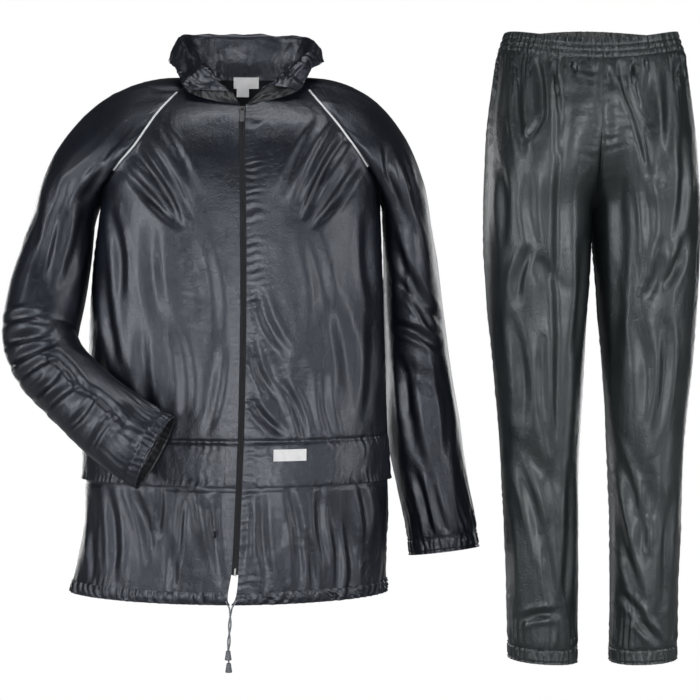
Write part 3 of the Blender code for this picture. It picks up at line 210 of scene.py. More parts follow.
# piece, face (-1 front, 1 back), x and z of both ends, half width, depth, sideways bow of its middle
CREASES = (
    ("jacket_front_right", -1, -162, -109, -90, -219, 7, 3.2, 5), ("jacket_front_right", -1, -182, -132, -93, -224, 7, 3, -4),
    ("jacket_front_right", -1, -141, -93, -75, -209, 6, 2.2, 4), ("jacket_front_right", -1, -118, -72, -62, -180, 7, 1.8, 4),
    ("jacket_front_right", -1, -59, -247, -36, -385, 12, 2.6, 6), ("jacket_front_right", -1, -136, -230, -113, -385, 14, 2.4, -8),
    ("jacket_front_right", -1, -203, -200, -186, -330, 9, 3.2, 6), ("jacket_front_right", -1, -212, -300, -190, -440, 9, 2.8, -5),
    ("jacket_front_right", -1, -93, -385, -81, -523, 10, 2.4, 6), ("jacket_front_right", -1, -151, -400, -130, -539, 11, 2.6, -6),
    ("jacket_front_right", -1, -24, -420, -46, -540, 8, 2.2, 4), ("jacket_front_right", -1, -220, -440, -205, -545, 9, 2.4, 3),
    ("jacket_front_right", -1, -167, -630, -136, -742, 8, 3.4, 6), ("jacket_front_right", -1, -101, -712, -101, -792, 7, 2.8, 2),
    ("jacket_front_right", -1, -66, -622, -50, -723, 9, -3.2, 3), ("jacket_front_right", -1, -36, -640, -25, -769, 7, 3, -4),
    ("jacket_front_right", -1, -205, -634, -194, -769, 8, 3.2, 5), ("jacket_front_right", -1, -232, -650, -226, -784, 7, 3, -3),
    ("jacket_front_right", -1, -120, -626, -128, -700, 6, 2.6, 3), ("jacket_front_right", -1, -84, -640, -90, -740, 6, 2.8, -3),
    ("jacket_front_left", -1, 171, -78, 102, -209, 7, 3.2, -5), ("jacket_front_left", -1, 187, -124, 117, -224, 7, 3, 4),
    ("jacket_front_left", -1, 148, -63, 91, -186, 6, 2.2, -4), ("jacket_front_left", -1, 122, -60, 70, -170, 7, 1.8, -4),
    ("jacket_front_left", -1, 18, -404, 51, -485, 7, 4, -5), ("jacket_front_left", -1, 18, -489, 64, -543, 7, 4, -4),
    ("jacket_front_left", -1, 71, -470, 102, -554, 7, 3.6, 5), ("jacket_front_left", -1, 32, -330, 71, -416, 8, 2.8, -6),
    ("jacket_front_left", -1, 141, -330, 171, -493, 13, 2.8, 8), ("jacket_front_left", -1, 198, -210, 210, -350, 9, 3.2, -5),
    ("jacket_front_left", -1, 110, -240, 128, -385, 13, 2.4, 8), ("jacket_front_left", -1, 204, -360, 196, -520, 9, 2.8, 5),
    ("jacket_front_left", -1, 130, -460, 146, -556, 8, 2.8, -4), ("jacket_front_left", -1, 164, -640, 174, -788, 8, 3.2, 5),
    ("jacket_front_left", -1, 210, -636, 222, -762, 8, -3, 4), ("jacket_front_left", -1, 125, -630, 134, -739, 7, 3.2, -4),
    ("jacket_front_left", -1, 79, -634, 94, -777, 8, 3.2, 5), ("jacket_front_left", -1, 36, -634, 48, -777, 7, 2.8, -4),
    ("jacket_front_left", -1, 187, -624, 196, -708, 6, 3, 3), ("jacket_front_left", -1, 104, -700, 116, -792, 6, 3, 3),
    ("jacket_front_left", -1, 14, -650, 8, -760, 6, 2.4, 3), ("jacket_front_left", -1, 150, -700, 150, -790, 6, 2.8, 3),
    ("jacket_back", 1, -160, -110, -60, -250, 9, 3.4, 8), ("jacket_back", 1, 165, -115, 64, -245, 9, 3.4, -8),
    ("jacket_back", 1, -190, -170, -90, -290, 9, 3, 6), ("jacket_back", 1, 192, -170, 96, -280, 9, 3, -6),
    ("jacket_back", 1, -40, -60, -30, -220, 12, 2.2, 8), ("jacket_back", 1, 50, -70, 30, -230, 12, 2.2, -8),
    ("jacket_back", 1, -120, -380, 30, -450, 11, 3.6, 10), ("jacket_back", 1, 130, -400, -20, -490, 11, 3.4, 9),
    ("jacket_back", 1, -190, -360, -170, -560, 10, 3, -7), ("jacket_back", 1, 186, -350, 176, -540, 10, 3, 7),
    ("jacket_back", 1, -90, -560, -110, -770, 10, 3.6, 6), ("jacket_back", 1, -30, -600, -44, -770, 9, 3, -5),
    ("jacket_back", 1, 40, -580, 54, -770, 10, 3.4, 6), ("jacket_back", 1, 110, -600, 96, -770, 9, 3.2, -5),
    ("jacket_back", 1, 190, -600, 200, -770, 9, 3, 5), ("jacket_back", 1, -200, -600, -214, -770, 9, 3, -5),
    ("sleeve_right", -1, -245, -174, -277, -320, 8, 3.4, 5), ("sleeve_right", -1, -269, -150, -306, -320, 8, 3.2, -5),
    ("sleeve_right", -1, -293, -170, -325, -336, 8, 2.8, 5), ("sleeve_right", -1, -229, -186, -243, -304, 6, 3.2, 3),
    ("sleeve_right", -1, -376, -376, -309, -362, 7, 4.6, 4), ("sleeve_right", -1, -374, -410, -290, -388, 7, 4.8, 5),
    ("sleeve_right", -1, -366, -446, -283, -404, 7, 4.2, 5), ("sleeve_right", -1, -350, -470, -276, -424, 6, 3, 4),
    ("sleeve_right", -1, -325, -492, -269, -446, 7, 3.4, -4), ("sleeve_right", -1, -301, -514, -237, -466, 7, 3.4, 5),
    ("sleeve_right", -1, -261, -538, -213, -484, 6, 3.2, -4), ("sleeve_right", -1, -221, -568, -176, -506, 6, 3, 4),
    ("sleeve_right", -1, -293, -416, -229, -480, 7, 3, 6), ("sleeve_right", -1, -229, -472, -165, -528, 6, 2.8, 5),
    ("sleeve_right", -1, -210, -120, -250, -180, 8, 2.6, 4), ("sleeve_right", -1, -170, -60, -262, -150, 8, 2.2, 6),
    ("sleeve_right", 1, -250, -170, -300, -330, 9, 3.2, 6), ("sleeve_right", 1, -330, -180, -340, -330, 9, 3, 5),
    ("sleeve_right", 1, -370, -400, -280, -420, 8, 4, 6), ("sleeve_right", 1, -350, -460, -260, -440, 8, 4, 6),
    ("sleeve_right", 1, -280, -500, -200, -540, 7, 3, 4), ("sleeve_right", 1, -180, -70, -270, -160, 9, 2.6, 6),
    ("sleeve_left", -1, 227, -96, 251, -200, 7, 3.4, -4), ("sleeve_left", -1, 251, -106, 275, -200, 6, 3, 4),
    ("sleeve_left", -1, 275, -120, 291, -224, 7, 2.6, -4), ("sleeve_left", -1, 240, -230, 256, -330, 7, 3, 4),
    ("sleeve_left", -1, 251, -266, 315, -368, 8, 4, -6), ("sleeve_left", -1, 247, -310, 307, -388, 7, 3.4, 5),
    ("sleeve_left", -1, 243, -376, 318, -416, 8, 3.6, 5), ("sleeve_left", -1, 262, -440, 287, -608, 10, 3.2, -7),
    ("sleeve_left", -1, 307, -420, 329, -576, 8, 3, 6), ("sleeve_left", -1, 300, -620, 331, -720, 7, 2.8, -4),
    ("sleeve_left", -1, 270, -600, 300, -716, 7, 3, 4), ("sleeve_left", -1, 248, -430, 262, -520, 7, 2.8, 4),
    ("sleeve_left", 1, 240, -110, 290, -240, 9, 3.2, 5), ("sleeve_left", 1, 244, -330, 316, -390, 8, 3.8, 6),
    ("sleeve_left", 1, 320, -430, 250, -480, 8, 3.4, 5), ("sleeve_left", 1, 280, -500, 300, -660, 9, 3, 6),
    ("leg_front_left", -1, 587, 32, 612, -60, 7, 4.4, -5), ("leg_front_left", -1, 612, -60, 630, -150, 8, 4.4, 3),
    ("leg_front_left", -1, 563, 22, 572, -9, 5, 2.6, 2), ("leg_front_left", -1, 577, -47, 582, -493, 11, 4.4, 5),
    ("leg_front_left", -1, 650, -250, 634, -330, 8, 4, 5), ("leg_front_left", -1, 690, -240, 664, -316, 8, 3.4, 4),
    ("leg_front_left", -1, 578, -554, 632, -738, 9, 4, 7), ("leg_front_left", -1, 584, -616, 624, -800, 8, 3.2, -6),
    ("leg_front_left", -1, 617, -838, 655, -877, 7, 3, 3), ("leg_front_left", -1, 617, -140, 632, -262, 9, 3.2, 6),
    ("leg_front_left", -1, 684, -90, 676, -240, 8, 3, 5), ("leg_front_left", -1, 617, -370, 629, -523, 11, 3.2, 7),
    ("leg_front_left", -1, 662, -380, 650, -539, 9, 3.2, 5), ("leg_front_left", -1, 640, -590, 622, -739, 9, 3, 5),
    ("leg_front_left", -1, 676, -640, 664, -815, 8, 3, -4), ("leg_front_left", -1, 660, 10, 656, -120, 10, 2.8, 5),
    ("leg_front_left", -1, 704, 44, 721, -84, 4, 2.6, 3), ("leg_front_left", -1, 598, -800, 640, -860, 7, 2.6, 4),
    ("leg_front_right", -1, 457, 37, 465, -55, 7, 3.4, 4), ("leg_front_right", -1, 465, -55, 443, -92, 6, 2.8, 3),
    ("leg_front_right", -1, 432, -4, 438, -109, 7, 3, -4), ("leg_front_right", -1, 483, 30, 487, -109, 7, 3.8, 4),
    ("leg_front_right", -1, 508, 30, 517, 3, 5, 2.4, 2), ("leg_front_right", -1, 498, -60, 490, -646, 12, 4.2, 6),
    ("leg_front_right", -1, 446, -262, 430, -339, 8, 4, -5), ("leg_front_right", -1, 402, -120, 409, -247, 7, 3, 4),
    ("leg_front_right", -1, 448, -150, 463, -278, 9, 2.8, -6), ("leg_front_right", -1, 425, -370, 440, -539, 10, 3.2, 7),
    ("leg_front_right", -1, 471, -400, 481, -570, 8, 3, -4), ("leg_front_right", -1, 432, -590, 471, -739, 9, 3.6, 6),
    ("leg_front_right", -1, 411, -650, 424, -800, 7, 3, 4), ("leg_front_right", -1, 480, -690, 497, -831, 8, 3, -5),
    ("leg_front_right", -1, 438, -842, 492, -828, 7, 3, 4), ("leg_front_right", -1, 530, -250, 520, -420, 8, 3, 5),
    ("leg_front_right", -1, 411, 44, 394, -84, 4, 2.6, -3), ("leg_front_right", -1, 516, -600, 508, -800, 8, 2.8, 5),
    ("leg_back_right", 1, 440, -60, 500, -200, 10, 3.4, 7), ("leg_back_right", 1, 520, -240, 430, -300, 9, 3.8, 6),
    ("leg_back_right", 1, 430, -380, 450, -560, 10, 3.2, 6), ("leg_back_right", 1, 500, -420, 480, -640, 10, 3.2, -7),
    ("leg_back_right", 1, 430, -620, 480, -780, 9, 3.2, 6), ("leg_back_right", 1, 470, 40, 462, -120, 9, 3, 5),
    ("leg_back_left", 1, 675, -60, 612, -200, 10, 3.4, -7), ("leg_back_left", 1, 596, -240, 686, -300, 9, 3.8, 6),
    ("leg_back_left", 1, 684, -380, 664, -560, 10, 3.2, -6), ("leg_back_left", 1, 612, -420, 636, -640, 10, 3.2, 7),
    ("leg_back_left", 1, 686, -620, 630, -780, 9, 3.2, -6), ("leg_back_left", 1, 645, 40, 652, -120, 9, 3, -5),
    ("collar", -1, -60, 40, -20, -12, 6, 3, 4), ("collar", -1, -86, 30, -52, -4, 6, 2.8, -3),
    ("collar", -1, -98, 60, -88, 16, 7, 2.4, 3), ("collar", -1, 60, 30, 44, -8, 5, 3, 3),
    ("collar", -1, 96, 40, 66, -2, 6, 3, -3), ("collar", -1, 116, 66, 98, 14, 7, 2.4, 3))

# %% [markdown]
# Coated nylon never lies smooth: between its main creases it crumples into small sharp ridges.
# A lattice of fixed random numbers, read smoothly, gives a noise, and folding that noise about its
# middle gives ridges. The lattice has a fixed seed, so every run makes the same suit.

# %% Crumple noise
LATTICE = np.random.RandomState(11).rand(64, 64, 64)


def smooth_noise(points, size, shift=0.0):
    place = points / size + shift
    cell = np.floor(place).astype(int)
    part = place - cell
    part = part * part * (3 - 2 * part)
    total = 0
    for dx in (0, 1):
        for dy in (0, 1):
            for dz in (0, 1):
                weight = (part[..., 0] if dx else 1 - part[..., 0]) * (part[..., 1] if dy else 1 - part[..., 1])
                weight = weight * (part[..., 2] if dz else 1 - part[..., 2])
                total = total + weight * LATTICE[(cell[..., 0] + dx) % 64, (cell[..., 1] + dy) % 64,
                                                 (cell[..., 2] + dz) % 64]
    return total


def ridges(points, size, shift):
    folded = 2 * smooth_noise(points, size, shift) - 1
    return .55 - np.sqrt(folded**2 + .0015)


def crumple(points):
    """Height of the crumpled cloth, in millimetres, around zero."""
    bent = points + 26 * (np.stack([smooth_noise(points, 70, k) for k in (3.1, 17.7, 29.3)], axis=-1) - .5)
    liveliness = .3 + 1.4 * smooth_noise(points, 110, 41.7)
    large = 2.0 * ridges(bent * np.array([1, 1, .22]), 44, 5.3)
    middle = .75 * ridges(bent * np.array([1, 1, .34]), 19, 9.1)
    small = .38 * ridges(bent * np.array([1, 1, .6]), 10, 13.9)
    return (large + middle + small) * liveliness


# %% Creases pressed into a grid of points
CREASE_WIDTH, CREASE_DEPTH = .85, 1.5


def fold_depth(name, points, normals):
    """Depth of the large folds and of the creases, inward, at each point of a grid."""
    total = np.zeros(points.shape[:2])
    flat = points[..., [0, 2]]
    back_piece = name.startswith(("jacket_back", "leg_back"))
    for part, x1, z1, x2, z2, half_width, depth in FOLDS:
        if part == name:
            line = np.array([x2 - x1, z2 - z1])
            t = np.clip((flat - (x1, z1)) @ line / (line @ line), 0, 1)
            distance = np.linalg.norm(flat - (x1, z1) - t[..., None] * line, axis=-1)
            facing = np.abs(normals[..., 1])**.5
            if not back_piece:
                facing = facing * (normals[..., 1] < 0)
            total += depth * np.exp(-(distance / half_width)**2) * np.sin(np.pi * (.12 + .76 * t)) * facing
    for part, face, x1, z1, x2, z2, half_width, depth, bow in CREASES:
        if part == name:
            line = np.array([x2 - x1, z2 - z1])
            length = np.linalg.norm(line)
            side_way = np.array([-line[1], line[0]]) / length
            t_raw = (flat - (x1, z1)) @ line / length**2
            t = np.clip(t_raw, 0, 1)
            beyond = np.abs(t_raw - t) * length
            across = (flat - (x1, z1)) @ side_way - bow * np.sin(np.pi * t)
            facing = np.clip(normals[..., 1] * face, 0, 1)**.5
            s = across / (half_width * CREASE_WIDTH)
            profile = np.exp(-s**2) - .42 * np.exp(-(np.abs(s) - 1.9)**2 / .6)
            taper = np.sin(np.pi * (.1 + .8 * t)) * np.exp(-(beyond / half_width)**2)
            total += CREASE_DEPTH * depth * profile * taper * facing
    return total


# %% [markdown]
# A sewn seam is drawn in by its thread and puckers the cloth beside it. The puckers stand across the
# seam, uneven in height and length, and die away from it. Elastic does the same, only more strongly.

# %% Seams and puckers
def lengths(grid, axis):
    steps = np.linalg.norm(np.diff(grid, axis=axis), axis=2)
    pad = [(1, 0), (0, 0)] if axis == 0 else [(0, 0), (1, 0)]
    return np.cumsum(np.pad(steps, pad), axis=axis)


def uneven(s, seed):
    """A smooth random number from 0 to 1 along a length."""
    line = np.stack([s, np.full_like(s, seed * 3.7), np.zeros_like(s)], axis=-1)
    return smooth_noise(line, 1.0, seed)


def puckers(s, away, spacing, reach, height, seed):
    phase = 2 * np.pi * s / spacing + 10 * uneven(s / spacing / 2.6, seed)
    phase = phase + .9 * np.sin(away / reach * 3 + 9 * uneven(s / spacing / 3, seed + 2))
    own_reach = reach * (.3 + 1.4 * uneven(s / spacing, seed + 5)**1.5)
    own_height = height * (.1 + 1.8 * uneven(s / spacing / 1.4, seed + 9)**1.6)
    return own_height * np.cos(phase) * np.exp(-(away / own_reach)**1.3)


def step_up(value):
    value = np.clip(value, 0, 1)
    return value * value * (3 - 2 * value)


def seam_groove(away):
    return -.9 * np.exp(-(away / 2.6)**2)


# %% Grids to meshes
def grid_normals(grid, wrapped, sign):
    across = np.roll(grid, -1, axis=1) - np.roll(grid, 1, axis=1) if wrapped else np.gradient(grid, axis=1)
    return unit_rows(np.cross(across, np.gradient(grid, axis=0)) * sign)


def cloth_mesh(name, outer, inner, wrapped, outside, inside):
    """A closed thin shell between two grids. The inner face takes the second material."""
    rows, columns = outer.shape[:2]
    under = rows * columns
    points = np.concatenate([outer.reshape(-1, 3), inner.reshape(-1, 3)]) * MM
    last = columns if wrapped else columns - 1
    i, j = np.meshgrid(np.arange(rows - 1), np.arange(last), indexing="ij")
    a, b = (i * columns + j).ravel(), (i * columns + (j + 1) % columns).ravel()
    top = np.stack([a, b, b + columns, a + columns], axis=1)
    low = np.stack([a, a + columns, b + columns, b], axis=1) + under
    j = np.arange(last)
    k, bottom = (j + 1) % columns, (rows - 1) * columns
    rims = [np.stack([k, j, under + j, under + k], axis=1),
            np.stack([bottom + j, bottom + k, under + bottom + k, under + bottom + j], axis=1)]
    if not wrapped:
        a, b = np.arange(rows - 1) * columns, np.arange(1, rows) * columns
        rims.append(np.stack([a, b, under + b, under + a], axis=1))
        a, b = a + columns - 1, b + columns - 1
        rims.append(np.stack([b, a, under + a, under + b], axis=1))
    faces = np.concatenate([top, low] + rims)
    corners = points[faces]
    one = np.cross(corners[:, 1] - corners[:, 0], corners[:, 2] - corners[:, 0])
    if np.einsum("ij,ij->i", corners[:, 0], one).sum() < 0:
        faces = faces[:, ::-1]
    mesh = bpy.data.meshes.new(name)
    mesh.from_pydata(points, [], faces.tolist())
    mesh.materials.append(outside)
    mesh.materials.append(inside)
    slots = np.zeros(len(faces), dtype=np.int32)
    slots[len(top):len(top) + len(low)] = 1
    mesh.polygons.foreach_set("material_index", slots)
    mesh.update()
    mesh.shade_smooth()
    mesh.set_sharp_from_angle(angle=math.radians(60))
    piece = bpy.data.objects.new(name, mesh)
    bpy.context.scene.collection.objects.link(piece)
    return piece


def sheet_piece(piece, node):
    """Attach a cloth piece to the suit's body, hide the solid of its node and print its triangles."""
    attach(piece, BODY)
    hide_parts(node)
    print(piece.name, "triangles:", 2 * len(piece.data.polygons))


# %% [markdown]
# The shell of each coated cloth is a woven nylon with a smooth, slightly milky coating.
# A shared group of nodes gives its weave, its faint mottling and its fine crinkles.
# The group puts out only a tone and a height; the shader stays in the material, where the export reads it.

# %% Shared cloth group
def new_group(name, inputs, outputs):
    group = bpy.data.node_groups.new(name, "ShaderNodeTree")
    for title, value in inputs:
        socket = group.interface.new_socket(title, in_out="INPUT", socket_type="NodeSocketFloat")
        socket.default_value = value
    for title in outputs:
        group.interface.new_socket(title, in_out="OUTPUT", socket_type="NodeSocketFloat")
    return group


def add(tree, kind, **values):
    node = tree.nodes.new(kind)
    for key, value in values.items():
        setattr(node, key, value)
    return node


def math_node(tree, operation, a, b):
    node = add(tree, "ShaderNodeMath", operation=operation)
    for socket, value in zip(node.inputs, (a, b)):
        if isinstance(value, (int, float)):
            socket.default_value = value
        else:
            tree.links.new(value, socket)
    return node.outputs[0]


def cloth_group():
    group = new_group("coated_weave", (("Threads", 1400), ("Crinkle Scale", 90), ("Mottle Scale", 14)),
                      ("Tone", "Height"))
    enter, leave = add(group, "NodeGroupInput"), add(group, "NodeGroupOutput")
    place = add(group, "ShaderNodeTexCoord")
    link = group.links.new
    crinkle = add(group, "ShaderNodeTexNoise", noise_dimensions="3D")
    crinkle.inputs["Detail"].default_value = 5
    crinkle.inputs["Roughness"].default_value = .55
    crinkle.inputs["Distortion"].default_value = .8
    mottle = add(group, "ShaderNodeTexNoise")
    mottle.inputs["Detail"].default_value = 4
    link(place.outputs["Object"], crinkle.inputs["Vector"])
    link(place.outputs["Object"], mottle.inputs["Vector"])
    link(enter.outputs["Crinkle Scale"], crinkle.inputs["Scale"])
    link(enter.outputs["Mottle Scale"], mottle.inputs["Scale"])
    bands = []
    for direction in ("X", "Z"):
        wave = add(group, "ShaderNodeTexWave", wave_type="BANDS", bands_direction=direction)
        link(place.outputs["Object"], wave.inputs["Vector"])
        link(enter.outputs["Threads"], wave.inputs["Scale"])
        bands.append(wave.outputs["Fac"])
    threads = math_node(group, "MULTIPLY", bands[0], bands[1])
    folded = math_node(group, "ABSOLUTE", math_node(group, "SUBTRACT", crinkle.outputs["Fac"], .5), 0)
    height = math_node(group, "SUBTRACT", math_node(group, "MULTIPLY", threads, .02),
                       math_node(group, "MULTIPLY", folded, 1.0))
    tone = math_node(group, "ADD", mottle.outputs["Fac"], math_node(group, "MULTIPLY", threads, .15))
    link(tone, leave.inputs["Tone"])
    link(height, leave.inputs["Height"])
    return group


COATED_WEAVE = cloth_group()


def cloth_material(name, dark, light, rough, coat, bump, threads=1400, crinkle=90, mottle=14, sheen=0.0,
                   shine=(1, 1, 1)):
    material = bpy.data.materials.new(name)
    material.use_nodes = True
    tree = material.node_tree
    shader = tree.nodes["Principled BSDF"]
    weave = add(tree, "ShaderNodeGroup", node_tree=COATED_WEAVE)
    for title, value in (("Threads", threads), ("Crinkle Scale", crinkle), ("Mottle Scale", mottle)):
        weave.inputs[title].default_value = value
    ramp = add(tree, "ShaderNodeValToRGB")
    ramp.color_ramp.elements[0].position = .38
    ramp.color_ramp.elements[1].position = .68
    ramp.color_ramp.elements[0].color = (*dark, 1)
    ramp.color_ramp.elements[1].color = (*light, 1)
    spread = add(tree, "ShaderNodeMapRange")
    spread.inputs["To Min"].default_value = rough - .07
    spread.inputs["To Max"].default_value = rough + .09
    relief = add(tree, "ShaderNodeBump")
    relief.inputs["Strength"].default_value = bump
    relief.inputs["Distance"].default_value = .002
    tree.links.new(weave.outputs["Tone"], ramp.inputs["Fac"])
    tree.links.new(weave.outputs["Tone"], spread.inputs["Value"])
    tree.links.new(ramp.outputs["Color"], shader.inputs["Base Color"])
    tree.links.new(spread.outputs["Result"], shader.inputs["Roughness"])
    tree.links.new(weave.outputs["Height"], relief.inputs["Height"])
    tree.links.new(relief.outputs["Normal"], shader.inputs["Normal"])
    shader.inputs["Coat Weight"].default_value = coat
    shader.inputs["Coat Roughness"].default_value = .28
    shader.inputs["Sheen Weight"].default_value = sheen
    shader.inputs["Specular Tint"].default_value = (*shine, 1)
    shader.inputs["Specular IOR Level"].default_value = .7
    return material


NAVY_SHINE, GREY_SHINE = (.8, .86, 1), (.86, .95, 1)
NAVY = cloth_material("navy_nylon", (.0022, .003, .006), (.005, .0065, .012), .33, .25, .6, 1400, 150, 14, 0, NAVY_SHINE)
NAVY_INSIDE = cloth_material("navy_coating", (.005, .006, .009), (.015, .016, .022), .5, .1, .35)
GREY = cloth_material("grey_green_nylon", (.007, .0095, .0105), (.015, .019, .02), .35, .25, .6, 1400, 140, 14, 0,
                      GREY_SHINE)
GREY_INSIDE = cloth_material("grey_coating", (.018, .022, .023), (.03, .034, .035), .5, .1, .35)
TAPE = cloth_material("zip_tape_weave", (.008, .009, .012), (.018, .019, .024), .72, 0, .8, 900, 400, 60)
PIPING = cloth_material("reflective_piping", (.6, .62, .65), (.82, .84, .86), .42, .2, .4, 2600, 700, 120)
LABEL = cloth_material("label_satin", (.74, .74, .75), (.88, .88, .89), .6, 0, .5, 2000, 500, 60)
CORD = cloth_material("drawstring_braid", (.12, .13, .15), (.3, .32, .35), .75, 0, .9, 1600, 900, 300)
THREAD_NAVY = cloth_material("navy_thread", (.03, .034, .05), (.06, .066, .085), .6, 0, .3, 3000, 900, 200)
THREAD_GREY = cloth_material("grey_thread", (.05, .058, .06), (.1, .11, .115), .6, 0, .3, 3000, 900, 200)


# %% Hard finishes
def hard_material(name, colour, rough, metallic, wear):
    material = bpy.data.materials.new(name)
    material.use_nodes = True
    tree = material.node_tree
    shader = tree.nodes["Principled BSDF"]
    place = add(tree, "ShaderNodeTexCoord")
    grain = add(tree, "ShaderNodeTexNoise")
    grain.inputs["Scale"].default_value = 900
    grain.inputs["Detail"].default_value = 4
    ramp = add(tree, "ShaderNodeValToRGB")
    ramp.color_ramp.elements[0].color = (*colour, 1)
    ramp.color_ramp.elements[1].color = (*wear, 1)
    ramp.color_ramp.elements[0].position = .45
    ramp.color_ramp.elements[1].position = .8
    spread = add(tree, "ShaderNodeMapRange")
    spread.inputs["To Min"].default_value = rough - .08
    spread.inputs["To Max"].default_value = rough + .1
    relief = add(tree, "ShaderNodeBump")
    relief.inputs["Strength"].default_value = .15
    relief.inputs["Distance"].default_value = .0004
    tree.links.new(place.outputs["Object"], grain.inputs["Vector"])
    tree.links.new(grain.outputs["Fac"], ramp.inputs["Fac"])
    tree.links.new(grain.outputs["Fac"], spread.inputs["Value"])
    tree.links.new(grain.outputs["Fac"], relief.inputs["Height"])
    tree.links.new(ramp.outputs["Color"], shader.inputs["Base Color"])
    tree.links.new(spread.outputs["Result"], shader.inputs["Roughness"])
    tree.links.new(relief.outputs["Normal"], shader.inputs["Normal"])
    shader.inputs["Metallic"].default_value = metallic
    return material


ZIP_TEETH = hard_material("zip_coil", (.016, .017, .021), .34, 0, (.05, .052, .06))
ZIP_PAINT = hard_material("zip_black_paint", (.012, .013, .016), .42, 0, (.03, .031, .035))
CORD_END = hard_material("cord_end_plastic", (.1, .11, .125), .4, 0, (.17, .18, .2))

# %% [markdown]
# The drawstring shows its two free ends below the hem, twisted loosely round each other.
# A braid is a tube whose skin rises and falls where its strands cross, so its radius is modulated.
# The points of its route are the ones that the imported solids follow.

# %% Drawstring ends
CORD_WIDTH = 2.6
CORD_RIGHT = ((-18, -138.5, -799.5), (-16, -141.2, -804), (-12.4, -142, -809), (-12, -143.5, -817),
              (-10.8, -143.7, -825), (-10.1, -142.4, -833), (-11, -140.7, -841), (-13.1, -140.2, -849),
              (-14.8, -141.3, -857), (-15.1, -143.2, -865), (-14.2, -146, -873.4))
CORD_LEFT = ((-1, -138.5, -797), (-4.4, -141.2, -802.6), (-8.8, -142, -809), (-10, -140.5, -817),
             (-12.1, -140.3, -825), (-13.6, -141.6, -833), (-13.6, -143.3, -841), (-12.4, -143.8, -849),
             (-11.5, -142.7, -857), (-12.1, -140.8, -865), (-14, -139.4, -872), (-14, -138.6, -880),
             (-14, -138.6, -887), (-13.8, -139.2, -893.4))
CORD_SIDES, CORD_STEPS, STRANDS, STRAND_RISE, STRAND_TURN = 20, 9, 4, .07, 5.2


def soft_route(points):
    """The smooth line that a quadratic curve draws through its guiding points."""
    points = np.array(points, float)
    line = []
    for k in range(1, len(points) - 1):
        start = points[0] if k == 1 else (points[k - 1] + points[k]) / 2
        end = points[-1] if k == len(points) - 2 else (points[k] + points[k + 1]) / 2
        for t in np.linspace(0, 1, CORD_STEPS, endpoint=k == len(points) - 2):
            line.append(start * (1 - t)**2 + 2 * points[k] * t * (1 - t) + end * t * t)
    return np.array(line)


def braided_tube(name, points, material):
    line = soft_route(points)
    ahead = unit_rows(np.gradient(line, axis=0))
    side = unit_rows(np.cross(ahead, np.array([0, 1.0, 0])))
    other = np.cross(ahead, side)
    run = np.concatenate([[0], np.cumsum(np.linalg.norm(np.diff(line, axis=0), axis=1))])
    angle = np.linspace(0, 2 * np.pi, CORD_SIDES, endpoint=False)
    turn = run[:, None] * 2 * np.pi / STRAND_TURN
    rise = np.cos(STRANDS * angle[None] + turn) * np.cos(STRANDS * angle[None] - turn)
    radius = CORD_WIDTH / 2 * (1 - STRAND_RISE + STRAND_RISE * rise)
    ring = line[:, None] + radius[..., None] * (np.cos(angle)[None, :, None] * side[:, None]
                                                + np.sin(angle)[None, :, None] * other[:, None])
    count, sides = ring.shape[:2]
    faces = []
    for i in range(count - 1):
        for j in range(sides):
            k = (j + 1) % sides
            faces.append((i * sides + j, i * sides + k, (i + 1) * sides + k, (i + 1) * sides + j))
    faces.append(tuple(range(sides))[::-1])
    faces.append(tuple((count - 1) * sides + j for j in range(sides)))
    mesh = bpy.data.meshes.new(name)
    mesh.from_pydata(ring.reshape(-1, 3) * MM, [], faces)
    mesh.update()
    mesh.shade_smooth()
    mesh.materials.append(material)
    piece = bpy.data.objects.new(name, mesh)
    bpy.context.scene.collection.objects.link(piece)
    return piece, line, run[-1]


# %% [markdown]
# Each cord ends in a small moulded bell. It is turned from a profile, with a rolled lip
# and a hollow mouth, so a screw-like lathe of rings is enough.

# %% Cord ends
BELL_PROFILE = ((1.5, .25), (2.6, .1), (3.3, -.3), (3.6, -1.0), (3.8, -2.2), (3.75, -3.2), (4.0, -5), (4.4, -7.5),
                (4.8, -10), (5.1, -11.8), (5.3, -12.8), (5.2, -13.6), (4.8, -14), (4.3, -13.8), (4.1, -13), (3.9, -10),
                (3.2, -7), (1.5, -6))
BELL_SIDES = 40


def turned(name, profile, sides, centre, material):
    angle = np.linspace(0, 2 * np.pi, sides, endpoint=False)
    profile = np.array(profile)
    ring = np.stack([profile[:, 0:1] * np.cos(angle), profile[:, 0:1] * np.sin(angle),
                     np.repeat(profile[:, 1:2], sides, axis=1)], axis=2) + centre
    count = len(profile)
    faces = []
    for i in range(count - 1):
        for j in range(sides):
            k = (j + 1) % sides
            faces.append((i * sides + k, i * sides + j, (i + 1) * sides + j, (i + 1) * sides + k))
    faces.append(tuple(range(sides)))
    faces.append(tuple((count - 1) * sides + j for j in range(sides))[::-1])
    mesh = bpy.data.meshes.new(name)
    mesh.from_pydata(ring.reshape(-1, 3) * MM, [], faces)
    mesh.update()
    mesh.shade_smooth()
    mesh.materials.append(material)
    piece = bpy.data.objects.new(name, mesh)
    bpy.context.scene.collection.objects.link(piece)
    return piece


for hand, points, bell_top in (("right", CORD_RIGHT, (-14.2, -146.4, -874)), ("left", CORD_LEFT, (-13.8, -139.2, -894))):
    string, route, run = braided_tube("drawstring_" + hand, points, CORD)
    bell = turned("drawstring_bell_" + hand, BELL_PROFILE, BELL_SIDES, np.array(bell_top), CORD_END)
    for piece, node, slot in ((string, "cord_" + hand, "cord_grey"), (bell, "cord_end_" + hand, "cord_end_grey")):
        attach(piece, BODY)
        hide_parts(node)
    print("drawstring", hand, round(run, 1), "mm")


# %% [markdown]
# A panel is a grid: rows down the garment, columns across it. Every panel is made by the same steps:
# a smooth form from the tables, then folds, creases, crumple and puckers along its own normals.

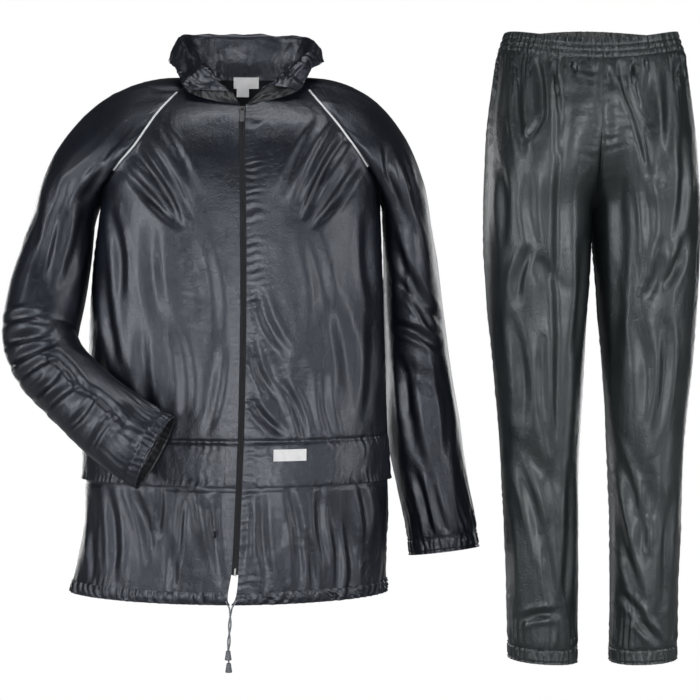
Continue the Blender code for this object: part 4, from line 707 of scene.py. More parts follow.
# %% Form of the jacket's body
CELL = 3.6


def side_edge(side, back, row):
    if row <= ROW_ARMPIT:
        if not back:
            return along(RAGLAN_RIGHT if side < 0 else RAGLAN_LEFT, row)
        away, y, z = along(RAGLAN_BACK, row)
        armpit = (RAGLAN_RIGHT if side < 0 else RAGLAN_LEFT)[-1][1]
        lean = (armpit - side * RAGLAN_BACK[-1][1]) * row
        return np.array([side * away + lean + 3 * (1 - row), y, z])
    x = along(SIDE_SEAMS, row)[0 if side < 0 else 1]
    return np.array([x, 0, SIDE_SEAM_TOP + (row - 1) * (SIDE_SEAM_END - SIDE_SEAM_TOP)])


def body_row(side, back, u, row):
    middle = along(BACK_MIDDLE if back else FRONT_MIDDLE, row)
    edge = side_edge(side, back, row)
    leave = along(LEAVE_BACK if back else LEAVE_FRONT, row)
    way = unit(np.array([leave[0] * side, leave[1], leave[2]]))
    reach, slope = abs(edge[0] - middle[0]) * .56, (edge[2] - middle[2]) * .12
    return bezier(middle, middle + np.array([side * reach, 0, slope]), edge + way * leave[3], edge, u)


def zip_edge(side, row):
    middle, edge = along(FRONT_MIDDLE, row), side_edge(side, False, row)
    return along(ZIP_OPENING, row)[0] / (3 * .56 * abs(edge[0] - middle[0]))


def even_rows(line_of_row, first, last, step):
    """Rows set evenly along a line of the garment."""
    dense = np.linspace(first, last, 161)
    line = np.array([line_of_row(row) for row in dense])
    run = np.concatenate([[0], np.cumsum(np.linalg.norm(np.diff(line, axis=0), axis=1))])
    return np.interp(np.linspace(0, run[-1], int(run[-1] / step) + 1), run, dense)


def eased(grid, rounds, margin=30):
    """The same panel with the ledges between its tables' rows smoothed away, and its seams left in place."""
    smooth = grid.copy()
    for _ in range(rounds):
        smooth[1:-1] = (smooth[:-2] + 2 * smooth[1:-1] + smooth[2:]) / 4
    across = lengths(grid, 1)
    near_seam = np.minimum(across, across[:, -1:] - across)
    return grid + (smooth - grid) * step_up(near_seam / margin)[..., None]


def front_base(side):
    rows = even_rows(lambda row: (side_edge(side, False, row) + along(FRONT_MIDDLE, row)) / 2, 0, 2, CELL)
    part = np.linspace(0, 1, 86)
    grid = np.array([body_row(side, False, zip_edge(side, row) * (1 - part) + part, row) for row in rows])
    return rows, eased(grid, 40)


def back_base():
    rows = even_rows(lambda row: along(BACK_MIDDLE, row), 0, 2, CELL * 1.5)
    half = np.linspace(0, 1, 54)
    grid = np.array([np.concatenate([body_row(-1, True, half[::-1], row), body_row(1, True, half[1:], row)])
                     for row in rows])
    return rows, grid


# %% Form of a sleeve
def sleeve_ring(table, place, angle):
    values = along(table, place)
    centre, wide, deep = values[:3], values[3], values[4]
    ahead = unit(along(table, place + .02)[:3] - along(table, place - .02)[:3])
    depth_way = unit(np.array([0, 1, 0]) - ahead * ahead[1])
    side_way = unit(np.cross(ahead, depth_way))
    inward = 1 if table is SLEEVE_RIGHT else -1
    side_way = side_way * (inward if side_way[0] > 0 else -inward)
    return centre + np.outer(np.cos(angle) * wide, side_way) - np.outer(np.sin(angle) * deep, depth_way)


def raglan_loop(side, count):
    """The seam loop that a sleeve starts from: armpit, front, neck edge and back."""
    front_steps = len(RAGLAN_ROWS) - 1
    whole = 2 * front_steps + NECK_EDGE_STEPS
    points, ways = [], []
    for k in np.linspace(0, whole, count, endpoint=False):
        if k <= front_steps:
            row = np.interp(k, range(front_steps + 1), RAGLAN_ROWS[::-1])
            point, way = side_edge(side, False, row), along(SLEEVE_LEAVES_FRONT, row)
        elif k < front_steps + NECK_EDGE_STEPS:
            t = (k - front_steps) / NECK_EDGE_STEPS
            start, end = side_edge(side, False, 0), side_edge(side, True, 0)
            point = bezier(start, start + np.array([side * 2, 22, 11]), end + np.array([side * 14, -16, 1]), end, t)
            way = np.array([1, .08, .12])
        else:
            row = np.interp(k - front_steps - NECK_EDGE_STEPS, range(front_steps + 1), RAGLAN_ROWS)
            point, way = side_edge(side, True, row), along(SLEEVE_LEAVES_BACK, row)
        points.append(point)
        ways.append(unit(way * np.array([side, 1, 1])))
    return np.array(points), np.array(ways)


def sleeve_base(side, count=116):
    table = SLEEVE_RIGHT if side < 0 else SLEEVE_LEFT
    loop, ways = raglan_loop(side, count)
    angle = np.linspace(0, 2 * np.pi, count, endpoint=False)
    first = sleeve_ring(table, 0, angle)
    ahead = unit(along(table, .03)[:3] - along(table, 0)[:3])
    reach = BLEND_REACH * np.linalg.norm(first - loop, axis=1, keepdims=True)
    blend = [loop * (1 - t)**3 + 3 * (loop + ways * reach) * t * (1 - t)**2
             + 3 * (first - ahead * reach) * t * t * (1 - t) + first * t**3 for t in np.linspace(0, 1, 36)]
    places = even_rows(lambda place: along(table, place)[:3], 0, .965, CELL)[1:]
    rows = np.concatenate([np.linspace(0, 1, 36), 1 + places])
    return rows, np.array(blend + [sleeve_ring(table, place, angle) for place in places])


# %% Form of the trousers
def leg_row(side, back, u, row):
    y, z, side_z, turn, inner, outer = along(LEG_BACK if back else LEG_FRONT, row)
    columns = (1, 0) if side < 0 else (2, 3)
    inside_x, outside_x = along(LEG_SIDES, z)[columns[0]], along(LEG_SIDES, side_z)[columns[1]]
    face = 1 if back else -1
    turn = math.radians(min(max(turn, 0), 90))
    start, end = np.array([inside_x, y, z]), np.array([outside_x, 0, side_z])
    way = np.array([side * math.cos(turn), face * math.sin(turn), 0])
    return bezier(start, start + way * inner, end + np.array([0, face * outer, 0]), end, u)


def leg_base(side, back):
    step = CELL if not back else CELL * 1.5
    rows = even_rows(lambda row: leg_row(side, back, .5, row), 0, 2, step)
    grid = np.array([leg_row(side, back, np.linspace(0, 1, 70 if not back else 48), row) for row in rows])
    return rows, eased(grid, 70 if not back else 30, 22)


# %% Pressing the cloth's relief into a panel
POCKET_SEAM_DEPTH, FLAP_SHADOW_DEPTH, BELOW_FLAP = 2.4, 1.9, 3.0


def panel(name, base, wrapped, sign, seams, free_edges=(), gathers=(), seed=1):
    """seams: edges sewn to a neighbour (T, B, L, R). gathers: edge, spacing, reach, height."""
    rows, grid = base
    normals = grid_normals(grid, wrapped, sign)
    down, across = lengths(grid, 0), lengths(grid, 1)
    away = {"T": down, "B": down[-1:] - down, "L": across, "R": across[:, -1:] - across}
    run = {"T": across, "B": across, "L": down, "R": down}
    relief = crumple(grid) - fold_depth(name, grid, normals)
    hold = np.ones(grid.shape[:2])
    for edge in seams:
        hold = hold * step_up(away[edge] / 14)
    for edge in free_edges:
        hold = hold * (.25 + .75 * step_up(away[edge] / 16))
    for k, (edge, spacing, reach, height) in enumerate(gathers):
        relief = relief + puckers(run[edge], away[edge], spacing, reach, height, seed + 3 * k)
    relief = relief * hold
    for edge in seams:
        relief = relief + seam_groove(away[edge])
    if name.startswith("jacket_front"):
        from_seam = down - down[int(np.searchsorted(rows, ROW_POCKET_SEAM))]
        relief = relief + POCKET_SEAM_DEPTH * seam_groove(from_seam) \
            + puckers(across, np.abs(from_seam), 12, 12, 1.1, seed + 17)
        from_flap = down - down[int(np.searchsorted(rows, ROW_FLAP_EDGE))] - BELOW_FLAP
        relief = relief + FLAP_SHADOW_DEPTH * seam_groove(from_flap)
    moved = grid + normals * relief[..., None]
    return {"name": name, "rows": rows, "grid": moved, "normals": normals, "wrapped": wrapped,
            "across": across, "down": down}


SHELL = 1.1


def make_panel(piece, node, outside, inside):
    made = cloth_mesh("cloth_" + piece["name"], piece["grid"], piece["grid"] - piece["normals"] * SHELL,
                      piece["wrapped"], outside, inside)
    sheet_piece(made, node)
    return made


def flat_facts(grid, wrapped=False):
    """Width, length and area of a piece, printed as its cut."""
    if wrapped:
        grid = np.concatenate([grid, grid[:, :1]], axis=1)
    one = np.linalg.norm(np.cross(grid[1:, :-1] - grid[:-1, :-1], grid[:-1, 1:] - grid[:-1, :-1]), axis=2).sum() / 2
    two = np.linalg.norm(np.cross(grid[1:, :-1] - grid[1:, 1:], grid[:-1, 1:] - grid[1:, 1:]), axis=2).sum() / 2
    return lengths(grid, 1)[:, -1].max(), lengths(grid, 0)[-1].max(), (one + two) / 1e6


# %% [markdown]
# The jacket: two fronts, one back, two sleeves. Seams pucker lightly, and the edge beside the zip
# puckers more, because the tape is shorter than the cloth sewn to it.

# %% Jacket panels
PANELS = {
    "jacket_front_right": panel("jacket_front_right", front_base(-1), False, 1, "R", "L",
                                (("L", 14, 6, .5), ("R", 20, 16, 1.0), ("B", 15, 30, 1.7)), 3),
    "jacket_front_left": panel("jacket_front_left", front_base(1), False, -1, "R", "L",
                               (("L", 11, 15, 2.1), ("R", 20, 16, 1.0), ("B", 15, 30, 1.7)), 23),
    "jacket_back": panel("jacket_back", back_base(), False, 1, "LR", "",
                         (("L", 22, 26, 1.0), ("R", 22, 26, 1.0), ("B", 17, 34, 1.8)), 31),
    "sleeve_right": panel("sleeve_right", sleeve_base(-1), True, 1, "TB", "",
                          (("T", 20, 30, 1.1), ("B", 11, 46, 2.0)), 43),
    "sleeve_left": panel("sleeve_left", sleeve_base(1), True, -1, "TB", "",
                         (("T", 20, 30, 1.1), ("B", 12, 40, 1.6)), 53)}
JACKET_CUTS = {
    "jacket_front_right": (["jacket_back", "sleeve_right", "zip_tape_right"],),
    "jacket_front_left": (["jacket_back", "sleeve_left", "zip_tape_left"],),
    "jacket_back": (["jacket_front_right", "jacket_front_left"],),
    "sleeve_right": (["jacket_front_right", "jacket_back"],),
    "sleeve_left": (["jacket_front_left", "jacket_back"],)}
for name, (rests_on,) in JACKET_CUTS.items():
    piece = PANELS[name]
    width, length, area = flat_facts(piece["grid"], piece["wrapped"])
    print(name, "cut", round(width), "x", round(length), "mm, area", round(area, 3))
    make_panel(piece, name, NAVY, NAVY_INSIDE)

# %% [markdown]
# Flaps, the hem tunnel, piping and labels lie on a panel, so each is made from the panel's own points,
# moved outward. That way no crease of the panel can come through them.

# %% Pieces that lie on a panel
def sample(field, i, j):
    """Read a grid between its points, at rows i and columns j."""
    i, j = np.asarray(i, float), np.asarray(j, float)
    i0 = np.clip(np.floor(i).astype(int), 0, field.shape[0] - 2)
    j0 = np.clip(np.floor(j).astype(int), 0, field.shape[1] - 2)
    a, b = (i - i0)[..., None], (j - j0)[..., None]
    upper = field[i0, j0] * (1 - b) + field[i0, j0 + 1] * b
    lower = field[i0 + 1, j0] * (1 - b) + field[i0 + 1, j0 + 1] * b
    return upper * (1 - a) + lower * a


def row_places(piece, rows):
    return np.interp(rows, piece["rows"], np.arange(len(piece["rows"])))


def patch(piece, row_from, row_to, part_from, part_to, rows, columns):
    """Points and normals of a part of a panel; parts run from 0 to 1 across it."""
    i = row_places(piece, np.linspace(row_from, row_to, rows))
    j = np.linspace(part_from, part_to, columns) * (piece["grid"].shape[1] - 1)
    i, j = np.meshgrid(i, j, indexing="ij")
    return sample(piece["grid"], i, j), unit_rows(sample(piece["normals"], i, j))


def strip_piece(name, node, outer, normals, thick, outside, inside, wrapped=False):
    made = cloth_mesh(name, outer, outer - normals * thick, wrapped, outside, inside)
    width, length, area = flat_facts(outer, wrapped)
    sheet_piece(made, node)
    CUTS[name] = (round(width), round(length), round(area, 4))
    return made


CUTS = {}
FLAP_PART, FLAP_LIFT_TOP, FLAP_LIFT_EDGE, FLAP_THICK = .042, 1.5, 5.0, 1.1
LABEL_X, LABEL_Z = (54, 104), (-568, -586)
flaps = {}
for hand in ("right", "left"):
    panel_name = "jacket_front_" + hand
    points, normals = patch(PANELS[panel_name], ROW_POCKET_SEAM, ROW_FLAP_EDGE, FLAP_PART, .9975, 30, 118)
    down, across = lengths(points, 0), lengths(points, 1)
    relief = .45 * crumple(points + 300) + puckers(across, down, 13, 16, 1.0, 61) \
        + puckers(across, down[-1:] - down, 12, 13, 1.3, 67)
    near_label = np.exp(-((points[..., 0] - 79) / 36)**4) if hand == "left" else 0
    relief = np.clip(relief * (1 - .9 * near_label), -1.0, 2.2) * step_up(.3 + down / 10)
    lift = FLAP_LIFT_TOP + (FLAP_LIFT_EDGE - FLAP_LIFT_TOP) * down / down[-1:]
    outer = points + normals * (lift + relief)[..., None]
    flaps[hand] = {"grid": outer, "normals": normals}
    strip_piece("cloth_flap_" + hand, "pocket_flap_" + hand, outer, normals, FLAP_THICK, NAVY, NAVY_INSIDE)

# %% Hem tunnel
right, right_ways = patch(PANELS["jacket_front_right"], ROW_TUNNEL, 2, 0, 1, 12, 110)
back, back_ways = patch(PANELS["jacket_back"], ROW_TUNNEL, 2, 0, 1, 12, 210)
left, left_ways = patch(PANELS["jacket_front_left"], ROW_TUNNEL, 2, 1, 0, 12, 110)
tunnel = np.concatenate([right, back[:, 1:], left[:, 1:]], axis=1)
tunnel_ways = unit_rows(np.concatenate([right_ways, back_ways[:, 1:], left_ways[:, 1:]], axis=1))
run, drop = lengths(tunnel, 1), lengths(tunnel, 0)
swell = 1.4 * np.sin(np.pi * drop / drop[-1:])
ripple = puckers(run, drop, 12, 26, 1.3, 71) + puckers(run, drop[-1:] - drop, 10, 20, 1.1, 73)
tunnel = tunnel + tunnel_ways * np.clip(1.7 + swell + ripple, .9, 5)[..., None]
strip_piece("cloth_hem_tunnel", "hem_tunnel", tunnel, tunnel_ways, .7, NAVY, NAVY_INSIDE)


# %% [markdown]
# The collar is one piece that stands up from the neck seam, folds over and falls as a leaf.
# Its section is read from three points a column: the neck seam, the fold and the leaf's edge.
# Nylon collars crumple a good deal, so the crumple is laid on more strongly here.

# %% Collar
def walk(points, count):
    run = np.concatenate([[0], np.cumsum(np.linalg.norm(np.diff(points, axis=0), axis=1))])
    wanted = np.linspace(0, run[-1], count)
    return np.stack([np.interp(wanted, run, points[:, k]) for k in range(3)], axis=1)


def neck_ring():
    steps = np.linspace(0, 1, 41)
    neck = {side: bezier(side_edge(side, False, 0), side_edge(side, False, 0) + np.array([side * 2, 22, 11]),
                         side_edge(side, True, 0) + np.array([side * 14, -16, 1]), side_edge(side, True, 0), steps)
            for side in (-1, 1)}
    front = {side: body_row(side, False, steps[1:], 0) for side in (-1, 1)}
    ring = [front[-1], neck[-1][1:], body_row(-1, True, steps[::-1], 0)[1:], body_row(1, True, steps, 0)[1:],
            neck[1][::-1][1:], front[1][::-1][1:]]
    return np.concatenate(ring)


COLLAR_COLUMNS, COLLAR_ROWS, COLLAR_LIFT, COLLAR_CLOTH = 240, 38, -1.0, 1.6


def collar_base():
    base = walk(neck_ring(), COLLAR_COLUMNS + 1) + np.array([0, 0, COLLAR_LIFT])
    columns = []
    for step, foot in enumerate(base):
        values = along(COLLAR, step / COLLAR_COLUMNS)
        fold, edge = values[:3], values[3:]
        up, down = fold + unit(foot - fold) * 9, fold + unit(edge - fold) * 9
        lean = np.array([foot[0] - 3, foot[1], 0]) * .05
        column = [foot, foot + (up - foot) * .4 + lean, up]
        column += [bezier(up, fold, fold, down, t) for t in (.3, .5, .7)]
        column += [down, down + (edge - down) * .5 + unit(lean) * 2.5, edge]
        columns.append(walk(np.array(column), COLLAR_ROWS))
    grid = np.transpose(np.array(columns), (1, 0, 2))
    smooth = grid.copy()
    for _ in range(2):
        smooth[1:-1] = (smooth[:-2] + 2 * smooth[1:-1] + smooth[2:]) / 4
    return smooth


grid = collar_base()
normals = grid_normals(grid, False, 1)
down, across = lengths(grid, 0), lengths(grid, 1)
edge_away = down[-1:] - down
relief = 2.6 * crumple(grid * np.array([1, 1, 2.2]) + 150) - fold_depth("collar", grid, normals) \
    + puckers(across, edge_away, 11, 12, .8, 81) + puckers(across, down, 15, 30, 2.2, 83)
hold = step_up(.1 + down / 12) * step_up(.35 + np.minimum(across, across[:, -1:] - across) / 30)
collar_outer = grid + normals * (COLLAR_CLOTH + relief * hold)[..., None]
COLLAR_PIECE = {"rows": np.linspace(0, 1, COLLAR_ROWS), "grid": collar_outer, "normals": normals}
strip_piece("cloth_collar", "collar", collar_outer, normals, 1.5, NAVY, NAVY_INSIDE)

# %% [markdown]
# Piping is a thin cord wrapped in reflective cloth. It is a half round that follows the front's side of
# the raglan seam, a few millimetres from it, where the picture has its white line.

# %% Reflective piping
PIPING_FROM, PIPING_TO, PIPING_AWAY, PIPING_HALF = .09, .81, 3.6, 1.9
for hand, side in (("right", -1), ("left", 1)):
    piece = PANELS["jacket_front_" + hand]
    places = row_places(piece, np.linspace(PIPING_FROM, PIPING_TO, 130))
    middle, ways = [], []
    for i in places:
        row = sample(piece["across"][..., None], np.full(piece["grid"].shape[1], i), np.arange(piece["grid"].shape[1]))
        j = np.interp(row[-1, 0] - PIPING_AWAY, row[:, 0], np.arange(piece["grid"].shape[1]))
        middle.append(sample(piece["grid"], i, j))
        ways.append(sample(piece["normals"], i, j))
    middle, ways = np.array(middle), unit_rows(np.array(ways))
    for _ in range(6):
        middle[1:-1] = (middle[:-2] + 2 * middle[1:-1] + middle[2:]) / 4
    ahead = unit_rows(np.gradient(middle, axis=0))
    side_way = unit_rows(np.cross(ways, ahead)) * -side
    angle = np.linspace(0, np.pi, 9)
    half_round = middle[:, None] + np.cos(angle)[None, :, None] * PIPING_HALF * side_way[:, None] \
        + (1.2 + np.sin(angle) * 1.3)[None, :, None] * ways[:, None]
    flat_under = middle[:, None] + np.cos(angle)[None, :, None] * PIPING_HALF * .96 * side_way[:, None] \
        + .8 * ways[:, None]
    made = cloth_mesh("cloth_piping_" + hand, half_round, flat_under + half_round * 0, False, PIPING, PIPING)
    width, length, area = flat_facts(half_round)
    sheet_piece(made, "piping_" + hand)
    CUTS["cloth_piping_" + hand] = (round(width), round(length), round(area, 4))

# %% [markdown]
# The labels are blank satin patches with folded edges. Two hang in the back of the neck and one is sewn
# on the left flap.

# %% Blank labels
NECK_LABELS = (("neck_label", -19, 22, 30, 11, 2.6), ("care_label", -14, 6, 29, -3, 3.6))


def label(name, node, grid, ways):
    rows, columns = grid.shape[:2]
    down, across = np.linspace(0, 1, rows)[:, None], np.linspace(0, 1, columns)[None]
    rim = np.minimum(np.minimum(down, 1 - down) * 14, np.minimum(across, 1 - across) * 26)
    height = .16 * (1 - step_up((rim - 1) / .7)) + .12 * np.sin(7 * across + 3 * down)
    strip_piece(name, node, grid + ways * height[..., None], ways, .45, LABEL, LABEL)


for node, x_from, x_to, top, bottom, depth in NECK_LABELS:
    z, x = np.meshgrid(np.linspace(top, bottom, 22), np.linspace(x_from, x_to, 28), indexing="ij")
    curl = .5 * np.sin((x - x_from) / 7) * (top - z) / 30
    y = 72 * np.sqrt(1 - ((x - 3) / 96)**2) - depth - (top - z) * .12 - np.abs(curl)
    ways = np.zeros(x.shape + (3,)) + np.array([0, -1.0, 0])
    label("cloth_" + node, node, np.stack([x, y, z], axis=-1), ways)

flap = flaps["left"]
middle_row = flap["grid"].shape[0] // 2
label_x, label_z = np.linspace(*LABEL_X, 40), np.linspace(*LABEL_Z, 16)
j = np.interp(label_x, flap["grid"][middle_row, :, 0], np.arange(flap["grid"].shape[1]))
i = np.interp(-label_z, -flap["grid"][:, int(j.mean()), 2], np.arange(flap["grid"].shape[0]))
i, j = np.meshgrid(i, j, indexing="ij")
ways = unit_rows(sample(flap["normals"], i, j))
label("cloth_flap_label", "flap_label", sample(flap["grid"], i, j) + ways * 1.0, ways)

# %% [markdown]
# The zip: two woven tapes, two rows of nylon coil, and a painted slider whose pull tab hangs down.
# A coil is one loop repeated up the tape, so Geometry Nodes set the loops along the zip's line.

# %% Zip tapes
TAPE_FROM, TAPE_TO, TAPE_DEPTH = 1.2, 13, 1.95
for hand, side in (("right", -1), ("left", 1)):
    piece = PANELS["jacket_front_" + hand]
    tape_rows = np.linspace(0, ROW_ZIP_END, 240)
    ways = unit_rows(sample(piece["normals"], row_places(piece, tape_rows), np.zeros(240)))
    line = np.array([along(FRONT_MIDDLE, row) for row in tape_rows])
    away = np.linspace(TAPE_FROM, TAPE_TO, 10)
    tape = line[:, None] + np.array([side, 0, 0]) * away[None, :, None] \
        - ways[:, None] * (TAPE_DEPTH + away * .045)[None, :, None]
    strip_piece("cloth_zip_tape_" + hand, "zip_tape_" + hand, tape, np.repeat(ways[:, None], 10, axis=1), .8,
                TAPE, TAPE)


# %% Zip coil by Geometry Nodes
def node_tree(name, inputs):
    tree = bpy.data.node_groups.new(name, "GeometryNodeTree")
    tree.interface.new_socket("Geometry", in_out="INPUT", socket_type="NodeSocketGeometry")
    for title, kind, value in inputs:
        socket = tree.interface.new_socket(title, in_out="INPUT", socket_type=kind)
        if value is not None:
            socket.default_value = value
    tree.interface.new_socket("Geometry", in_out="OUTPUT", socket_type="NodeSocketGeometry")
    return tree


def repeat_tree():
    """Set a small shape along lines, turned to follow them and to stand off the cloth."""
    tree = node_tree("set_along_lines", (("Shape", "NodeSocketObject", None), ("Spacing", "NodeSocketFloat", .003),
                                         ("Turn", "NodeSocketFloat", 0.0), ("Finish", "NodeSocketMaterial", None)))
    link = tree.links.new
    enter, leave = add(tree, "NodeGroupInput"), add(tree, "NodeGroupOutput")
    curve = add(tree, "GeometryNodeMeshToCurve")
    even = add(tree, "GeometryNodeResampleCurve", mode="LENGTH")
    shape = add(tree, "GeometryNodeObjectInfo", transform_space="ORIGINAL")
    tangent = add(tree, "GeometryNodeInputTangent")
    stand = add(tree, "GeometryNodeInputNamedAttribute", data_type="FLOAT_VECTOR")
    stand.inputs["Name"].default_value = "stand"
    turn_way = add(tree, "FunctionNodeAlignRotationToVector", axis="X")
    turn_up = add(tree, "FunctionNodeAlignRotationToVector", axis="Z", pivot_axis="X")
    place = add(tree, "GeometryNodeInstanceOnPoints")
    spin = add(tree, "GeometryNodeRotateInstances")
    angles = add(tree, "ShaderNodeCombineXYZ")
    real = add(tree, "GeometryNodeRealizeInstances")
    finish = add(tree, "GeometryNodeSetMaterial")
    link(enter.outputs["Geometry"], curve.inputs["Mesh"])
    link(curve.outputs["Curve"], even.inputs["Curve"])
    link(enter.outputs["Spacing"], even.inputs["Length"])
    link(enter.outputs["Shape"], shape.inputs["Object"])
    link(tangent.outputs["Tangent"], turn_way.inputs["Vector"])
    link(turn_way.outputs["Rotation"], turn_up.inputs["Rotation"])
    link(stand.outputs["Attribute"], turn_up.inputs["Vector"])
    link(even.outputs["Curve"], place.inputs["Points"])
    link(shape.outputs["Geometry"], place.inputs["Instance"])
    link(turn_up.outputs["Rotation"], place.inputs["Rotation"])
    link(place.outputs["Instances"], spin.inputs["Instances"])
    link(enter.outputs["Turn"], angles.inputs["Z"])
    link(angles.outputs["Vector"], spin.inputs["Rotation"])
    link(spin.outputs["Instances"], real.inputs["Geometry"])
    link(real.outputs["Geometry"], finish.inputs["Geometry"])
    link(enter.outputs["Finish"], finish.inputs["Material"])
    link(finish.outputs["Geometry"], leave.inputs["Geometry"])
    return tree


REPEAT = repeat_tree()


def small_mesh(name, points, faces):
    mesh = bpy.data.meshes.new(name)
    mesh.from_pydata([tuple(point) for point in points], [], faces)
    mesh.update()
    mesh.shade_smooth()
    shape = bpy.data.objects.new(name, mesh)
    return shape


def rod(name, length, thick, sides, bend=0.0, rings=5):
    """A short rounded rod along X, bowed off the cloth by bend."""
    points, faces = [], []
    for t in np.linspace(-.5, .5, rings):
        width = 1 - .55 * abs(2 * t)**3
        for k in range(sides):
            angle = 2 * math.pi * k / sides
            points.append((t * length, thick / 2 * width * math.cos(angle),
                           thick / 2 * width * math.sin(angle) + bend * (1 - (2 * t)**2)))
    for i in range(rings - 1):
        for k in range(sides):
            m = (k + 1) % sides
            faces.append((i * sides + k, (i + 1) * sides + k, (i + 1) * sides + m, i * sides + m))
    faces.append(tuple(range(sides)))
    faces.append(tuple((rings - 1) * sides + k for k in range(sides))[::-1])
    return small_mesh(name, points, faces)


def set_along(name, lines, shape, spacing, finish, turn=0.0):
    """lines: pairs of points and outward ways in millimetres. Returns a plain mesh object."""
    points, edges, stands, first = [], [], [], 0
    for line, ways in lines:
        points += [tuple(point * MM) for point in line]
        stands += [tuple(way) for way in ways]
        edges += [(first + k, first + k + 1) for k in range(len(line) - 1)]
        first += len(line)
    mesh = bpy.data.meshes.new(name + "_lines")
    mesh.from_pydata(points, edges, [])
    stand = mesh.attributes.new("stand", "FLOAT_VECTOR", "POINT")
    stand.data.foreach_set("vector", np.array(stands, float).ravel())
    carrier = bpy.data.objects.new(name + "_lines", mesh)
    bpy.context.scene.collection.objects.link(carrier)
    bpy.context.scene.collection.objects.link(shape)
    modifier = carrier.modifiers.new("set", "NODES")
    modifier.node_group = REPEAT
    for item in REPEAT.interface.items_tree:
        if item.item_type == "SOCKET" and item.in_out == "INPUT":
            value = {"Shape": shape, "Spacing": spacing, "Turn": turn, "Finish": finish}.get(item.name)
            if value is not None:
                modifier[item.identifier] = value
    bpy.context.view_layer.update()
    result = bpy.data.meshes.new_from_object(carrier.evaluated_get(bpy.context.evaluated_depsgraph_get()))
    made = bpy.data.objects.new(name, result)
    result.name = name
    bpy.context.scene.collection.objects.link(made)
    result.shade_smooth()
    bpy.data.objects.remove(carrier)
    bpy.data.objects.remove(shape)
    print(name, "faces:", len(result.polygons))
    return made


SLIDER_ROW, SLIDER_LENGTH, COIL_PITCH, COIL_REACH, COIL_WIRE = .085, 12, 1.9, 3.4, 1.15
coil_rows = np.linspace(SLIDER_ROW + .05, ROW_ZIP_END, 260)
coil_line = np.array([along(FRONT_MIDDLE, row) for row in coil_rows])
coil_ahead = unit_rows(np.gradient(coil_line, axis=0))
coil_ways = unit_rows(np.cross(coil_ahead, np.array([1.0, 0, 0])))
coil_ways = coil_ways * np.where(coil_ways[:, 1:2] > 0, -1, 1)
keep = np.linalg.norm(coil_line - along(FRONT_MIDDLE, SLIDER_ROW), axis=1) > SLIDER_LENGTH / 2 + .6
coil_line, coil_ways = coil_line[keep], coil_ways[keep]
coil_pairs = [(coil_line + np.array([side * 1.5, 0, 0]) + coil_ways * .15
               + (coil_ahead[keep] * COIL_PITCH / 2 if side > 0 else 0), coil_ways) for side in (-1, 1)]
coil = set_along("zip_coil", coil_pairs, rod("coil_loop", COIL_REACH * MM, COIL_WIRE * MM, 5, .35 * MM),
                 COIL_PITCH * MM, ZIP_TEETH, math.radians(90))
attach(coil, BODY)
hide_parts("zip_chain")

for node in ("zip_slider", "pull_tab"):
    for slot_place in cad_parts[node].material_slots:
        slot_place.material = ZIP_PAINT

# %% [markdown]
# Elastic bands are gathered: the cloth is longer than the elastic inside it, so it stands in waves.
# Rows of stitching hold the waves down in lines, and the cloth swells between them.

# %% Gathered bands
def gathered(name, node, base, top, ways, stitched, wave, spacing, outside, inside, seed):
    """A band between two rings; stitched gives the places of its sewn rows, from 0 to 1."""
    count, rows = len(base), 22
    part = np.linspace(0, 1, rows)[:, None]
    grid = base[None] * (1 - part[..., None]) + top[None] * part[..., None]
    closed = np.concatenate([base, base[:1]])
    run = np.concatenate([[0], np.cumsum(np.linalg.norm(np.diff(closed, axis=0), axis=1))])[:-1]
    turn = run / (run[-1] + np.linalg.norm(base[-1] - base[0]))
    waves = round(run[-1] / spacing)
    circle = np.stack([np.cos(2 * np.pi * turn), np.sin(2 * np.pi * turn), np.zeros(count)], axis=1) * waves / 4
    wander = smooth_noise(circle[None] + np.array([0, 0, 1.0]) * part[..., None] * 1.3, 1.0, seed)
    phase = 2 * np.pi * turn[None] * waves + 6 * wander
    strength = .3 + 1.4 * smooth_noise(circle[None] * 1.7 + part[..., None] * .8, 1.0, seed + 4)
    held = np.ones(rows)
    for place in stitched:
        held = held * (1 - .8 * np.exp(-((part[:, 0] - place) / .045)**2))
    height = wave * strength * (.45 * np.cos(phase) + .2 * np.cos(2.3 * phase + 1)) * (.35 + .65 * held[:, None])
    height = height + 1.3 * (held[:, None] - .6)
    outer = grid + ways[None] * height[..., None]
    made = strip_piece(name, node, outer, np.repeat(ways[None], rows, axis=0), 1.0, outside, inside,
                       True)
    return outer, made


def spread(ring, count):
    return walk(np.concatenate([ring, ring[:1]]), count + 1)[:-1]


def outward(ring):
    ways = ring - ring.mean(axis=0)
    ways[:, 2] = 0
    return unit_rows(ways)


# each band starts a little way over the edge that it is sewn to, so no light comes through the seam
BAND_TUCK, CUFF_TUCK = 2.2, .0046
BANDS = {}
for hand, table in (("right", SLEEVE_RIGHT), ("left", SLEEVE_LEFT)):
    angle = np.linspace(0, 2 * np.pi, 180, endpoint=False)
    base, end = sleeve_ring(table, CUFF_START - CUFF_TUCK, angle), sleeve_ring(table, 1.0, angle)
    ways = unit_rows(base - base.mean(axis=0))
    BANDS["cuff_" + hand], _ = gathered("cloth_cuff_" + hand, "cuff_" + hand, base, end, ways, (.12, .85), 1.6, 10,
                                        NAVY, NAVY_INSIDE, 91)

